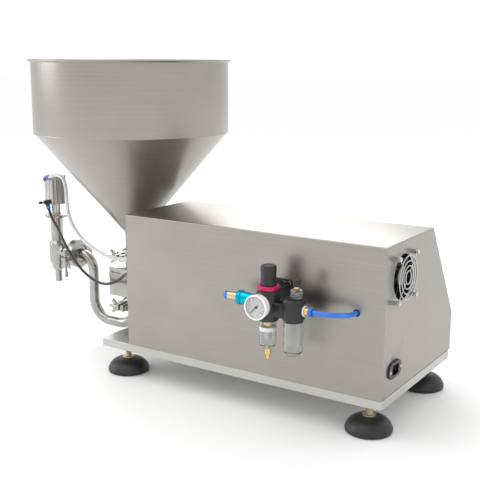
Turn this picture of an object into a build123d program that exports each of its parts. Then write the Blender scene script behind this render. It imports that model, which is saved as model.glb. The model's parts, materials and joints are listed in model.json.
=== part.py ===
from build123d import *
from math import cos, hypot, pi, radians, sin, tan
import os

os.makedirs("parts", exist_ok=True)

# Tabletop piston filler, +Z up, origin on the floor under the middle of the machine.
# +X runs from the nozzle to the fan end, +Y from the air-unit side to the operator's side.

# ---- Driving dimensions, mm ----

# Levelling feet
foot_h = 55.0
foot_d = 80.0
foot_inset = 37.0
dome_h = 28.0
stud_r = 6.0
nut_h = 10.0
nut_across = 19.0

# Base plate
base_t = 15.0
base_w = 310.0
base_ahead = 70.0
base_corner_r = 8.0

# Housing
housing_l = 522.0
housing_h = 251.0
housing_top_w = 196.0
slope_low_h = 74.5
sheet_t = 1.5
fold_r = 3.0
panel_t = 2.0

# Hopper
hopper_ahead = 111.0
hopper_in = 155.0
hopper_r = 195.7
hopper_wall = 1.5
rim_out = 5.5
rim_h = 5.0
rim_z = 602.5
cylinder_part_h = 143.0
cone_half_angle = 40.2
neck_r = 19.0

# Sanitary joints
ferrule_r = 32.0
ferrule_edge_h = 2.8
ferrule_taper_h = 2.7
ferrule_taper_r = 7.0
gasket_t = 2.0
small_ferrule_r = 25.2
band_t = 6.0
band_h = 16.0
ear_len = 16.0
ear_t = 8.0
ear_gap = 5.0
bolt_r = 3.0

# Valve block
block_x_l = 78.0
block_w = 80.0
block_h = 60.0
block_z = 149.0
upper_joint_z = 204.0
lower_joint_z = 98.0
rotor_bore_r = 23.0
rotor_port_r = 10.0
top_port_r = 14.0
lower_neck_r = 11.0
actuator_size = 62.0
actuator_l = 48.0
vane_r = 21.0

# Discharge pipe
pipe_r = 11.0
pipe_wall = 1.5
pipe_low_z = 46.5
pipe_rise_back = 117.7
pipe_bend_r = 44.0
pipe_top_bend_r = 34.0

# Nozzle
nozzle_ahead = 335.5
nozzle_side_reach = 62.5
nozzle_port_z = 185.0
nozzle_body_r = 18.5
nozzle_body_h = 50.0
nozzle_chamber_r = 12.0
sleeve_r = 13.5
sleeve_h = 53.0
collar_r = 14.0
collar_h = 17.0
tip_r = 8.0
tip_bore_r = 6.0
tip_l = 26.0
mount_disc_r = 25.0
mount_disc_t = 6.0
pillar_h = 24.0
pillar_r = 3.5
pillar_circle_r = 20.0
air_cylinder_w = 37.0
air_cylinder_h = 63.5
air_cylinder_turn = -17.1
air_bore_r = 13.0
cap_h = 7.0
stem_r = 4.0
stem_travel = 12.0
air_piston_h = 12.0

# Piston pump and its drive
pump_bore_r = 24.0
pump_tube_wall = 3.0
pump_tube_l = 172.0
pump_flange_r = 30.0
pump_flange_t = 10.0
piston_l = 24.0
piston_stroke = 110.0
piston_rod_r = 7.0
bracket_t = 16.0
screw_r = 8.0
screw_lead = 20.0
screw_z = 104.0
bearing_t = 14.0
carriage_l = 40.0
rail_w = 12.0
rail_h = 10.0
rail_spread = 40.0
coupling_r = 14.0
coupling_l = 28.0
motor_w = 60.0
motor_l = 130.0
motor_plate_t = 10.0

# Fan at the rear end
fan_size = 80.0
fan_depth = 25.0
fan_screw_pitch = 71.5
fan_in = 68.8
fan_up = 191.2
fan_opening_r = 38.0
guard_stand = 11.0
guard_wire_r = 1.0

# Power inlet
inlet_in = 45.3
inlet_up = 42.0
inlet_flange_l = 50.0
inlet_flange_h = 27.0

# Air treatment unit on the near wall
air_out = 45.0
air_port_up = 147.0
regulator_along = 338.0
unit_pitch = 47.0
unit_r = 19.5
lubricator_r = 18.5
regulator_low = -29.0
regulator_high = 20.0
knob_r = 13.5
knob_h = 33.0
gauge_r = 20.75
gauge_reach = 86.0
gauge_depth = 15.0
filter_bowl_r = 14.0
lubricator_bowl_r = 16.0
slide_sleeve_l = 33.5
slide_travel = 7.0
hose_hole_along = 474.0
hose_hole_up = 139.5
hose_hole_r = 5.8

# Cords
big_hose_r = 4.0
small_hose_r = 3.0

# Clearances
running = 0.05
slide_gap = 0.1
free_gap = 0.4
seam_gap = 0.1

# ---- Places worked out from the dimensions ----

deck_z = foot_h + base_t
front_reach = nozzle_ahead + mount_disc_r
rear_reach = housing_l + guard_stand
side_reach = hopper_in + hopper_r + rim_out
house_x = (front_reach - rear_reach) / 2
wall_y = (gauge_reach - side_reach) / 2
end_x = house_x + housing_l
far_y = wall_y + base_w
top_z = deck_z + housing_h
line_x = house_x - hopper_ahead
line_y = wall_y + hopper_in
nozzle_x = house_x - nozzle_ahead
air_y = wall_y - air_out
air_z = deck_z + air_port_up


def upright(x, y):
    """Plane through a vertical axis at x, y: local x is the radius, local y the height."""
    return Plane(origin=(x, y, 0), x_dir=(1, 0, 0), z_dir=(0, -1, 0))


def across(x, y, z):
    """Plane for turning about an axis along X: local x runs along X, local y is the radius."""
    return Plane(origin=(x, y, z), x_dir=(1, 0, 0), z_dir=(0, -1, 0))


def turned(points, x, y):
    """Solid turned about the vertical axis at x, y from an outline of radius, height pairs."""
    with BuildPart(mode=Mode.PRIVATE) as piece:
        with BuildSketch(upright(x, y)):
            with BuildLine():
                Polyline(*points, close=True)
            make_face()
        revolve(axis=Axis((x, y, 0), (0, 0, 1)))
    return piece.part


def turned_across(points, x, y, z):
    """Solid turned about an axis along X from an outline of length, radius pairs."""
    with BuildPart(mode=Mode.PRIVATE) as piece:
        with BuildSketch(across(x, y, z)):
            with BuildLine():
                Polyline(*points, close=True)
            make_face()
        revolve(axis=Axis((x, y, z), (1, 0, 0)))
    return piece.part


def facing(x, y, z, normal, right):
    """Plane at a point with its normal and its local x direction."""
    return Plane(origin=(x, y, z), x_dir=right, z_dir=normal)


# ---- Base plate ----

foot_places = [
    (x, y)
    for x in (house_x - base_ahead + foot_inset, end_x - foot_inset)
    for y in (wall_y + foot_inset, far_y - foot_inset)
]

with BuildPart() as base_plate:
    with BuildSketch(Plane.XY.offset(foot_h)):
        with Locations(((house_x - base_ahead + end_x) / 2, (wall_y + far_y) / 2)):
            RectangleRounded(housing_l + base_ahead, base_w, base_corner_r)
        with Locations(*foot_places):
            Circle(stud_r + running, mode=Mode.SUBTRACT)
    extrude(amount=base_t)
    chamfer(base_plate.faces().sort_by(Axis.Z)[-1].outer_wire().edges(), 0.8)
base_plate.part.label = "base_plate"

# ---- Levelling feet: dome, hex nut and stud in one turned piece each ----


def levelling_foot(x, y):
    """Rubber-domed levelling foot standing on the floor."""
    neck_z = dome_h - 2
    nut_top = foot_h - free_gap
    with BuildPart() as foot:
        with BuildSketch(upright(x, y)):
            with BuildLine():
                Line((0, 0), (foot_d / 2 - 2, 0))
                Line((foot_d / 2 - 2, 0), (foot_d / 2, 3))
                Line((foot_d / 2, 3), (foot_d / 2, 9))
                ThreePointArc((foot_d / 2, 9), (30, 20.5), (13, neck_z))
                Line((13, neck_z), (11, dome_h))
                Line((11, dome_h), (0, dome_h))
                Line((0, dome_h), (0, 0))
            make_face()
        revolve(axis=Axis((x, y, 0), (0, 0, 1)))
        with BuildSketch(Plane.XY.offset(dome_h)):
            with Locations((x, y)):
                Circle(stud_r)
        extrude(amount=foot_h + base_t - 1 - dome_h)
        with BuildSketch(Plane.XY.offset(nut_top - nut_h)):
            with Locations((x, y)):
                RegularPolygon(nut_across / 2, 6, major_radius=False)
        extrude(amount=nut_h)
    return foot


feet = []
for number, (x, y) in enumerate(foot_places, start=1):
    foot = levelling_foot(x, y)
    foot.part.label = f"foot_{number}"
    feet.append(foot)

# ---- Housing ----

outline = [
    (wall_y, deck_z),
    (wall_y, top_z),
    (wall_y + housing_top_w, top_z),
    (far_y, deck_z + slope_low_h),
    (far_y, deck_z),
]
slope_run = base_w - housing_top_w
slope_rise = housing_h - slope_low_h
slope_l = hypot(slope_run, slope_rise)
slope_normal = (0, slope_rise / slope_l, slope_run / slope_l)


def on_slope(along, up, lift=0.0):
    """Plane on the sloped face: x towards the nozzle as seen by the operator, y up the slope."""
    middle_y = wall_y + housing_top_w + slope_run / 2
    middle_z = deck_z + (housing_h + slope_low_h) / 2
    y = middle_y - up * slope_run / slope_l + lift * slope_normal[1]
    z = middle_z + up * slope_rise / slope_l + lift * slope_normal[2]
    return facing(house_x + along, y, z, slope_normal, (-1, 0, 0))


screen_along = 210.0
screen_w = 150.0
screen_h = 106.0
screen_depth = 32.0
stop_along = 330.0
stop_up = 28.0
start_up = -32.0
button_hole_r = 11.2



def housing_face(inset):
    """Filled outline of the housing, moved inwards by inset; local x is Y and local y is Z."""
    with BuildSketch() as section:
        Polygon(*outline, align=None)
        folds = [v for v in section.vertices() if v.Y > deck_z + 1]
        fillet(folds, fold_r)
        if inset:
            offset(amount=-inset, kind=Kind.INTERSECTION)
    return section.sketch


with BuildPart() as cover_shell:
    with BuildSketch(Plane.YZ.offset(house_x)):
        add(housing_face(0))
        add(housing_face(sheet_t), mode=Mode.SUBTRACT)
        with Locations(((wall_y + far_y) / 2, deck_z)):
            Rectangle(base_w - 2 * sheet_t, 2 * sheet_t, mode=Mode.SUBTRACT)
    extrude(amount=housing_l)
    with BuildSketch(on_slope(screen_along, 0, -2 * sheet_t)):
        Rectangle(screen_w + 1, screen_h + 1)
        with Locations((screen_along - stop_along, stop_up), (screen_along - stop_along, start_up)):
            Circle(button_hole_r + free_gap)
    extrude(amount=4 * sheet_t, mode=Mode.SUBTRACT)
    hole_at = (house_x + hose_hole_along, wall_y - 1, deck_z + hose_hole_up)
    with BuildSketch(facing(*hole_at, (0, 1, 0), (1, 0, 0))):
        Circle(hose_hole_r)
    extrude(amount=sheet_t + 2, mode=Mode.SUBTRACT)
cover_shell.part.label = "cover_shell"

pump_outer_r = pump_bore_r + pump_tube_wall
black_port_y = wall_y + 58
black_port_z = deck_z + 122
clear_port_y = wall_y + 60
clear_port_z = deck_z + 151
port_hole_r = 6.0

with BuildPart() as front_panel:
    with BuildSketch(Plane.YZ.offset(house_x)):
        add(housing_face(sheet_t + seam_gap))
        with Locations(((wall_y + far_y) / 2, deck_z)):
            Rectangle(base_w, 2 * seam_gap, mode=Mode.SUBTRACT)
        with Locations((line_y, block_z)):
            Circle(pump_outer_r + free_gap, mode=Mode.SUBTRACT)
        with Locations((black_port_y, black_port_z), (clear_port_y, clear_port_z)):
            Circle(port_hole_r, mode=Mode.SUBTRACT)
    extrude(amount=panel_t)
front_panel.part.label = "front_panel"

fan_y = wall_y + fan_in
fan_z = deck_z + fan_up
inlet_y = wall_y + inlet_in
inlet_z = deck_z + inlet_up
inlet_body_l = 28.0
inlet_body_h = 21.0
fan_screw_r = 2.0

with BuildPart() as rear_panel:
    with BuildSketch(Plane.YZ.offset(end_x - panel_t)):
        add(housing_face(sheet_t + seam_gap))
        with Locations(((wall_y + far_y) / 2, deck_z)):
            Rectangle(base_w, 2 * seam_gap, mode=Mode.SUBTRACT)
        with Locations((fan_y, fan_z)):
            Circle(fan_opening_r, mode=Mode.SUBTRACT)
            with GridLocations(fan_screw_pitch, fan_screw_pitch, 2, 2):
                Circle(fan_screw_r + seam_gap, mode=Mode.SUBTRACT)
        with Locations((inlet_y, inlet_z)):
            Rectangle(inlet_body_l + 2 * seam_gap, inlet_body_h + 2 * seam_gap, mode=Mode.SUBTRACT)
    extrude(amount=panel_t)
rear_panel.part.label = "rear_panel"

# ---- Hopper ----

seam_z = rim_z - cylinder_part_h
cone_slope = tan(radians(cone_half_angle))
neck_top_z = seam_z - (hopper_r - neck_r) / cone_slope
ferrule_z = upper_joint_z + gasket_t / 2
inner_neck_r = neck_r - hopper_wall
inner_seam_r = hopper_r - hopper_wall
ferrule_top = ferrule_z + ferrule_edge_h + ferrule_taper_h

with BuildPart() as hopper:
    with BuildSketch(upright(line_x, line_y)):
        with BuildLine():
            Polyline(
                (inner_neck_r, ferrule_z),
                (ferrule_r, ferrule_z),
                (ferrule_r, ferrule_z + ferrule_edge_h),
                (ferrule_r - ferrule_taper_r, ferrule_top),
                (neck_r, ferrule_top),
                (neck_r, neck_top_z),
                (hopper_r, seam_z),
                (hopper_r, rim_z - rim_h),
                (hopper_r + rim_out, rim_z - rim_h),
                (hopper_r + rim_out, rim_z),
                (inner_seam_r, rim_z),
                (inner_seam_r, seam_z),
                (inner_neck_r, neck_top_z),
                close=True,
            )
        make_face()
    revolve(axis=Axis((line_x, line_y, 0), (0, 0, 1)))
    rim_edges = hopper.edges().filter_by(GeomType.CIRCLE).filter_by(lambda e: e.radius > hopper_r + 1)
    fillet(rim_edges, rim_h / 2 - 0.4)
hopper.part.label = "hopper"

# ---- Sanitary clamps: two half rings with ears, and an eye bolt ----

upper_joint = Plane(origin=(line_x, line_y, upper_joint_z), x_dir=(-1, 0, 0), z_dir=(0, 0, 1))
lower_joint = Plane(origin=(line_x, line_y, lower_joint_z), x_dir=(-1, 0, 0), z_dir=(0, 0, 1))
nozzle_joint_x = nozzle_x + nozzle_side_reach
nozzle_joint = Plane(origin=(nozzle_joint_x, line_y, nozzle_port_z), x_dir=(0, 0, -1), z_dir=(-1, 0, 0))


def bolt_reach(edge_r):
    """Distance from the pipe axis to the bolt of a clamp round a ferrule."""
    return edge_r + band_t + ear_len / 2


def clamp_bands(joint, edge_r):
    """The two half rings round a pair of ferrules, with their ears."""
    outer_r = edge_r + band_t
    half = band_h / 2
    groove = gasket_t / 2 + ferrule_edge_h + ferrule_taper_h + 0.4
    lip_r = edge_r - ferrule_taper_r + 1.2
    side = Plane(origin=joint.origin, x_dir=joint.x_dir, z_dir=-joint.y_dir)
    ear_across = ear_gap + 2 * ear_t
    with BuildPart() as bands:
        with BuildSketch(joint.offset(-half * 0.8)):
            with Locations((0, outer_r + ear_len / 2 - 2)):
                Rectangle(ear_across, ear_len + 4)
            with Locations((0, -outer_r - 2)):
                Rectangle(ear_across - 4, 10)
            Circle(edge_r + free_gap, mode=Mode.SUBTRACT)
        extrude(amount=2 * half * 0.8)
        with BuildSketch(side):
            with BuildLine():
                Polyline(
                    (edge_r + free_gap, -groove),
                    (edge_r + free_gap, groove),
                    (lip_r, groove),
                    (lip_r, half),
                    (outer_r, half),
                    (outer_r, -half),
                    (lip_r, -half),
                    (lip_r, -groove),
                    close=True,
                )
            make_face()
        revolve(axis=Axis(joint.origin, joint.z_dir))
        with BuildSketch(joint.offset(-band_h)):
            with Locations((0, outer_r)):
                Rectangle(ear_gap, 3 * ear_len)
            with Locations((0, -outer_r)):
                Rectangle(seam_gap * 4, 3 * ear_len)
        extrude(amount=2 * band_h, mode=Mode.SUBTRACT)
        bolt_line = Plane(joint.from_local_coords((-40, bolt_reach(edge_r), 0)), joint.z_dir, joint.x_dir)
        with BuildSketch(bolt_line):
            Circle(bolt_r + 2 * slide_gap)
        extrude(amount=80, mode=Mode.SUBTRACT)
    return bands.part


def eye_bolt(joint, edge_r, reach):
    """Bolt through both ears, its head against the far ear."""
    head_at = -(ear_gap / 2 + ear_t) - seam_gap
    start = Plane(joint.from_local_coords((head_at, bolt_reach(edge_r), 0)), joint.z_dir, joint.x_dir)
    with BuildPart() as bolt:
        with BuildSketch(start):
            Circle(bolt_r)
        extrude(amount=reach - head_at)
        with BuildSketch(start):
            Circle(bolt_r + 2.5)
        extrude(amount=-5)
        chamfer(bolt.edges().filter_by(GeomType.CIRCLE).sort_by(Axis(joint.origin, joint.x_dir))[-1], 0.8)
    return bolt.part


def wing_nut(joint, edge_r, wing_span, hub_l=9.0):
    """Wing nut on the bolt, against the near ear."""
    start = ear_gap / 2 + ear_t + free_gap
    seat = Plane(joint.from_local_coords((start, bolt_reach(edge_r), 0)), joint.z_dir, joint.x_dir)
    with BuildPart() as nut:
        with BuildSketch(seat):
            Circle(6)
        extrude(amount=hub_l)
        wing_plane = Plane(seat.origin, x_dir=seat.x_dir, z_dir=seat.y_dir)
        with BuildSketch(wing_plane.offset(-1.7)):
            for way in (1, -1):
                with BuildLine():
                    Polyline(
                        (way * 2, -1.0),
                        (way * 7, -1.0),
                        (way * wing_span / 2, -hub_l - 3),
                        (way * (wing_span / 2 - 3), -hub_l - 8),
                        (way * 5, -hub_l),
                        (way * 2, -hub_l),
                        close=True,
                    )
                make_face()
        extrude(amount=3.4)
        with BuildSketch(seat.offset(-1)):
            Circle(bolt_r + running)
        extrude(amount=hub_l + 12, mode=Mode.SUBTRACT)
    return nut


clamp_bolt_l = 34.0
small_bolt_l = 46.0

with BuildPart() as pipe_clamps:
    for joint in (upper_joint, lower_joint):
        add(clamp_bands(joint, ferrule_r))
        add(eye_bolt(joint, ferrule_r, clamp_bolt_l))
pipe_clamps.part.label = "pipe_clamps"

with BuildPart() as nozzle_clamp:
    add(clamp_bands(nozzle_joint, small_ferrule_r))
    add(eye_bolt(nozzle_joint, small_ferrule_r, small_bolt_l))
nozzle_clamp.part.label = "nozzle_clamp"

wing_nuts = []
for name, joint, edge_r, span in (
    ("upper_wing_nut", upper_joint, ferrule_r, 30.0),
    ("lower_wing_nut", lower_joint, ferrule_r, 30.0),
    ("nozzle_wing_nut", nozzle_joint, small_ferrule_r, 26.0),
):
    nut = wing_nut(joint, edge_r, span)
    nut.part.label = name
    wing_nuts.append(nut)


def joint_gasket(joint, edge_r, hole_r):
    """Flat seal between two ferrules."""
    with BuildPart(mode=Mode.PRIVATE) as gasket:
        with BuildSketch(joint.offset(-gasket_t / 2)):
            Circle(edge_r - 1)
            Circle(hole_r, mode=Mode.SUBTRACT)
        extrude(amount=gasket_t)
    return gasket.part


with BuildPart() as joint_gaskets:
    add(joint_gasket(upper_joint, ferrule_r, inner_neck_r))
    add(joint_gasket(lower_joint, ferrule_r, pipe_r - pipe_wall))
    add(joint_gasket(nozzle_joint, small_ferrule_r, pipe_r - pipe_wall))
joint_gaskets.part.label = "joint_gaskets"

# ---- Valve block and its rotor ----

block_top = block_z + block_h / 2
block_low = block_z - block_h / 2
block_near = line_y - block_w / 2
block_far = line_y + block_w / 2
block_wall = 10.0
rotor_z_axis = Plane(origin=(line_x, block_far, block_z), x_dir=(1, 0, 0), z_dir=(0, -1, 0))
upper_face = upper_joint_z - gasket_t / 2
lower_face = lower_joint_z + gasket_t / 2


def ferrule_outline(inner, neck, edge, face, way, root):
    """Radius, height outline of a ferrule: its face looks along -way and its neck runs to root."""
    return [
        (inner, face),
        (edge, face),
        (edge, face + way * ferrule_edge_h),
        (edge - ferrule_taper_r, face + way * (ferrule_edge_h + ferrule_taper_h)),
        (neck, face + way * (ferrule_edge_h + ferrule_taper_h)),
        (neck, root),
        (inner, root),
    ]


with BuildPart() as valve_block:
    with BuildSketch(Plane.XY.offset(block_low)):
        with Locations((line_x, line_y)):
            RectangleRounded(block_x_l, block_w, 3)
    extrude(amount=block_h)
    chamfer(valve_block.faces().sort_by(Axis.Z)[-1].edges(), 1.0)
    add(turned(ferrule_outline(top_port_r, neck_r, ferrule_r, upper_face, -1, block_top), line_x, line_y))
    low_ferrule = ferrule_outline(lower_neck_r - 2, lower_neck_r, ferrule_r, lower_face, 1, block_low)
    add(turned(low_ferrule, line_x, line_y))
    with BuildSketch(rotor_z_axis):
        Circle(rotor_bore_r)
    extrude(amount=block_w - block_wall, mode=Mode.SUBTRACT)
    with BuildSketch(Plane.XY.offset(block_z)):
        with Locations((line_x, line_y)):
            Circle(top_port_r)
    extrude(amount=block_h / 2 + 1, mode=Mode.SUBTRACT)
    with BuildSketch(Plane.XY.offset(block_z)):
        with Locations((line_x, line_y)):
            Circle(lower_neck_r - 2)
    extrude(amount=-block_h / 2 - 1, mode=Mode.SUBTRACT)
    with BuildSketch(Plane.YZ.offset(line_x)):
        with Locations((line_y, block_z)):
            Circle(rotor_port_r + 6)
    extrude(amount=block_x_l, mode=Mode.SUBTRACT)
    slot_z = block_top - 10
    for slot_x in (line_x - 19.5, line_x + 19.5):
        with BuildSketch(facing(slot_x, block_near, slot_z, (0, 1, 0), (1, 0, 0))):
            SlotOverall(26, 2.6)
        extrude(amount=3, mode=Mode.SUBTRACT)
valve_block.part.label = "valve_block"

rotor_r = rotor_bore_r - slide_gap
rotor_near = block_near + block_wall + free_gap
rotor_stem_r = 6.0
actuator_wall = 8.0
vane_near = block_far + actuator_wall + free_gap
vane_l = actuator_l - 2 * actuator_wall - 2 * free_gap

with BuildPart() as valve_rotor:
    with BuildSketch(facing(line_x, rotor_near, block_z, (0, 1, 0), (-1, 0, 0))):
        Circle(rotor_r)
    extrude(amount=block_far - free_gap - rotor_near)
    with BuildSketch(facing(line_x, rotor_near, block_z, (0, 1, 0), (-1, 0, 0))):
        Circle(rotor_stem_r)
    extrude(amount=vane_near - rotor_near)
    with BuildSketch(facing(line_x, vane_near, block_z, (0, 1, 0), (-1, 0, 0))):
        Circle(rotor_stem_r + 3)
        with Locations((vane_r / 2, 0)):
            Rectangle(vane_r - 2, 8)
    extrude(amount=vane_l)
    with BuildSketch(Plane.YZ.offset(line_x)):
        with Locations((line_y, block_z)):
            Circle(rotor_port_r)
    extrude(amount=rotor_bore_r, mode=Mode.SUBTRACT)
    with BuildSketch(Plane.XY.offset(block_z)):
        with Locations((line_x, line_y)):
            Circle(rotor_port_r)
    extrude(amount=rotor_bore_r, mode=Mode.SUBTRACT)
valve_rotor.part.label = "valve_rotor"

with BuildPart() as valve_actuator:
    with BuildSketch(facing(line_x, block_far, block_z, (0, 1, 0), (-1, 0, 0))):
        RectangleRounded(actuator_size, actuator_size, 6)
        Circle(rotor_stem_r + running, mode=Mode.SUBTRACT)
    extrude(amount=actuator_l)
    with BuildSketch(facing(line_x, block_far + actuator_wall, block_z, (0, 1, 0), (-1, 0, 0))):
        Circle(vane_r + free_gap)
    extrude(amount=actuator_l - 2 * actuator_wall, mode=Mode.SUBTRACT)
valve_actuator.part.label = "valve_actuator"

# ---- Discharge pipe ----

pipe_back_x = line_x - pipe_rise_back
pipe_start_z = lower_joint_z - gasket_t / 2
pipe_end_x = nozzle_joint_x + gasket_t / 2

with BuildPart() as discharge_pipe:
    with BuildLine() as pipe_line:
        FilletPolyline(
            (line_x, line_y, pipe_start_z),
            (line_x, line_y, pipe_low_z),
            (pipe_back_x, line_y, pipe_low_z),
            (pipe_back_x, line_y, nozzle_port_z),
            (pipe_end_x, line_y, nozzle_port_z),
            radius=[pipe_bend_r, pipe_bend_r, pipe_top_bend_r],
        )
    with BuildSketch(Plane(origin=pipe_line.line @ 0, z_dir=pipe_line.line % 0)):
        Circle(pipe_r)
    sweep()
    lower_ferrule = ferrule_outline(pipe_r - pipe_wall, pipe_r, ferrule_r, pipe_start_z, -1, pipe_start_z - 8)
    add(turned(lower_ferrule, line_x, line_y))
    pipe_bore_r = pipe_r - pipe_wall
    end_ferrule = ferrule_outline(pipe_bore_r, pipe_r, small_ferrule_r, pipe_end_x, 1, pipe_end_x + 8)
    add(turned_across([(h, r) for r, h in end_ferrule], 0, line_y, nozzle_port_z))
    with BuildSketch(Plane(origin=pipe_line.line @ 0, z_dir=pipe_line.line % 0)):
        Circle(pipe_r - pipe_wall)
    sweep(path=pipe_line.line, mode=Mode.SUBTRACT)
discharge_pipe.part.label = "discharge_pipe"

# ---- Nozzle ----

body_low = nozzle_port_z - nozzle_body_h + 22.0
body_top = body_low + nozzle_body_h
sleeve_top = body_top + sleeve_h
disc_top = sleeve_top + mount_disc_t
cylinder_low = disc_top + pillar_h
cylinder_top = cylinder_low + air_cylinder_h
chamber_low = body_low + 6
chamber_top = body_top - 6
side_boss_r = pipe_r + 3
side_boss_l = 24.0

with BuildPart() as nozzle_body:
    add(
        turned(
            [
                (0, body_low),
                (nozzle_body_r - 2, body_low),
                (nozzle_body_r, body_low + 2),
                (nozzle_body_r, body_top - 6),
                (sleeve_r, body_top),
                (sleeve_r, sleeve_top),
                (0, sleeve_top),
            ],
            nozzle_x,
            line_y,
        )
    )
    side_face_x = nozzle_joint_x - gasket_t / 2
    side_ferrule = ferrule_outline(0, pipe_r, small_ferrule_r, side_face_x, -1, nozzle_x)
    add(turned_across([(h, r) for r, h in side_ferrule], 0, line_y, nozzle_port_z))
    boss_end_x = nozzle_x + side_boss_l
    side_boss = [(nozzle_x, 0), (nozzle_x, side_boss_r), (boss_end_x, side_boss_r), (boss_end_x, 0)]
    add(turned_across(side_boss, 0, line_y, nozzle_port_z))
    with BuildSketch(Plane.YZ.offset(nozzle_x)):
        with Locations((line_y, nozzle_port_z)):
            Circle(pipe_r - pipe_wall)
    extrude(amount=side_face_x - nozzle_x, mode=Mode.SUBTRACT)
    with BuildSketch(Plane.XY.offset(chamber_low)):
        with Locations((nozzle_x, line_y)):
            Circle(nozzle_chamber_r)
    extrude(amount=chamber_top - chamber_low, mode=Mode.SUBTRACT)
    with BuildSketch(Plane.XY.offset(body_low)):
        with Locations((nozzle_x, line_y)):
            Circle(tip_bore_r)
    extrude(amount=chamber_low - body_low, mode=Mode.SUBTRACT)
    with BuildSketch(Plane.XY.offset(chamber_top)):
        with Locations((nozzle_x, line_y)):
            Circle(stem_r + running)
    extrude(amount=sleeve_top - chamber_top, mode=Mode.SUBTRACT)
nozzle_body.part.label = "nozzle_body"

collar_low = body_low - collar_h
tip_low = collar_low - tip_l
with BuildPart() as nozzle_tip:
    add(
        turned(
            [
                (tip_bore_r, body_low),
                (collar_r, body_low),
                (collar_r, collar_low + 5),
                (collar_r - 3, collar_low + 1),
                (tip_r + 1, collar_low),
                (tip_r, collar_low - 1),
                (tip_r, tip_low),
                (tip_bore_r, tip_low),
            ],
            nozzle_x,
            line_y,
        )
    )
nozzle_tip.part.label = "nozzle_tip"

turn = radians(air_cylinder_turn)
square_x = (cos(turn), sin(turn), 0)
square_y = (-sin(turn), cos(turn), 0)
square = Plane(origin=(nozzle_x, line_y, 0), x_dir=square_x, z_dir=(0, 0, 1))
pillar_at = pillar_circle_r / 2**0.5

with BuildPart() as cylinder_mount:
    with BuildSketch(Plane.XY.offset(sleeve_top)):
        with Locations((nozzle_x, line_y)):
            Circle(mount_disc_r)
            Circle(stem_r + running, mode=Mode.SUBTRACT)
    extrude(amount=mount_disc_t)
    fillet(cylinder_mount.edges().filter_by(GeomType.CIRCLE).filter_by(lambda e: e.radius > 20), 1.0)
    with BuildSketch(square.offset(sleeve_top + 2)):
        with Locations((pillar_at, -pillar_at), (-pillar_at, pillar_at)):
            Circle(pillar_r)
    extrude(amount=pillar_h + mount_disc_t - 2)
cylinder_mount.part.label = "cylinder_mount"

bore_low = cylinder_low + cap_h
bore_h = air_cylinder_h - 2 * cap_h
lower_port_z = cylinder_low + 6.5
upper_port_z = cylinder_top - 5.5
half_w = air_cylinder_w / 2

with BuildPart() as nozzle_cylinder:
    with BuildSketch(square.offset(cylinder_low)):
        RectangleRounded(air_cylinder_w, air_cylinder_w, 4)
        with Locations((half_w - 1.2, -half_w / 3), (half_w - 1.2, half_w / 3)):
            Rectangle(2.6, 2.4, mode=Mode.SUBTRACT)
        with Locations((-half_w / 3, -half_w + 0.6), (half_w / 2.4, -half_w + 0.6)):
            Rectangle(1.6, 1.4, mode=Mode.SUBTRACT)
    extrude(amount=air_cylinder_h)
    fillet(nozzle_cylinder.faces().sort_by(Axis.Z)[-1].edges(), 0.8)
    with BuildSketch(square.offset(bore_low)):
        Circle(air_bore_r)
    extrude(amount=bore_h, mode=Mode.SUBTRACT)
    with BuildSketch(square.offset(cylinder_low)):
        Circle(stem_r + running)
    extrude(amount=cap_h, mode=Mode.SUBTRACT)
nozzle_cylinder.part.label = "nozzle_cylinder"

piston_low = bore_low + 1.0
plunger_low = chamber_low + free_gap
with BuildPart() as nozzle_stem:
    add(
        turned(
            [
                (0, plunger_low),
                (tip_bore_r + 1.5, plunger_low),
                (tip_bore_r + 2.5, plunger_low + 4),
                (tip_bore_r + 2.5, plunger_low + 9),
                (stem_r, plunger_low + 12),
                (stem_r, piston_low),
                (air_bore_r - slide_gap, piston_low),
                (air_bore_r - slide_gap, piston_low + air_piston_h),
                (0, piston_low + air_piston_h),
            ],
            nozzle_x,
            line_y,
        )
    )
nozzle_stem.part.label = "nozzle_stem"

# ---- Piston pump ----

pump_x = line_x + block_x_l / 2
pump_end_x = pump_x + pump_tube_l

with BuildPart() as pump_cylinder:
    with BuildSketch(Plane.YZ.offset(pump_x)):
        with Locations((line_y, block_z)):
            Circle(pump_flange_r)
            Circle(pump_bore_r, mode=Mode.SUBTRACT)
    extrude(amount=pump_flange_t)
    with BuildSketch(Plane.YZ.offset(pump_x)):
        with Locations((line_y, block_z)):
            Circle(pump_outer_r)
            Circle(pump_bore_r, mode=Mode.SUBTRACT)
    extrude(amount=pump_tube_l)
pump_cylinder.part.label = "pump_cylinder"

bracket_x = pump_end_x - bracket_t
front_bearing_x = pump_end_x + 1
carriage_x = front_bearing_x + bearing_t + 3
rear_bearing_x = carriage_x + carriage_l + piston_stroke + 4
coupling_x = rear_bearing_x + bearing_t + 4
motor_plate_x = coupling_x + coupling_l + 5
motor_x = motor_plate_x + motor_plate_t
bearing_w = 50.0
bearing_h = 22.0
journal_r = 5.0
rear_journal_r = 6.0
motor_shaft_r = 7.0
shaft_in_motor = 12.0

with BuildPart() as cylinder_bracket:
    with BuildSketch(Plane.YZ.offset(bracket_x)):
        with Locations((line_y, deck_z)):
            Rectangle(96, block_z - deck_z + pump_outer_r + 9, align=(Align.CENTER, Align.MIN))
        with Locations((line_y, block_z)):
            Circle(pump_outer_r + running, mode=Mode.SUBTRACT)
    extrude(amount=bracket_t)
    chamfer(cylinder_bracket.edges().filter_by(Axis.X).group_by(Axis.Z)[-1], 14)
cylinder_bracket.part.label = "cylinder_bracket"

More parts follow.
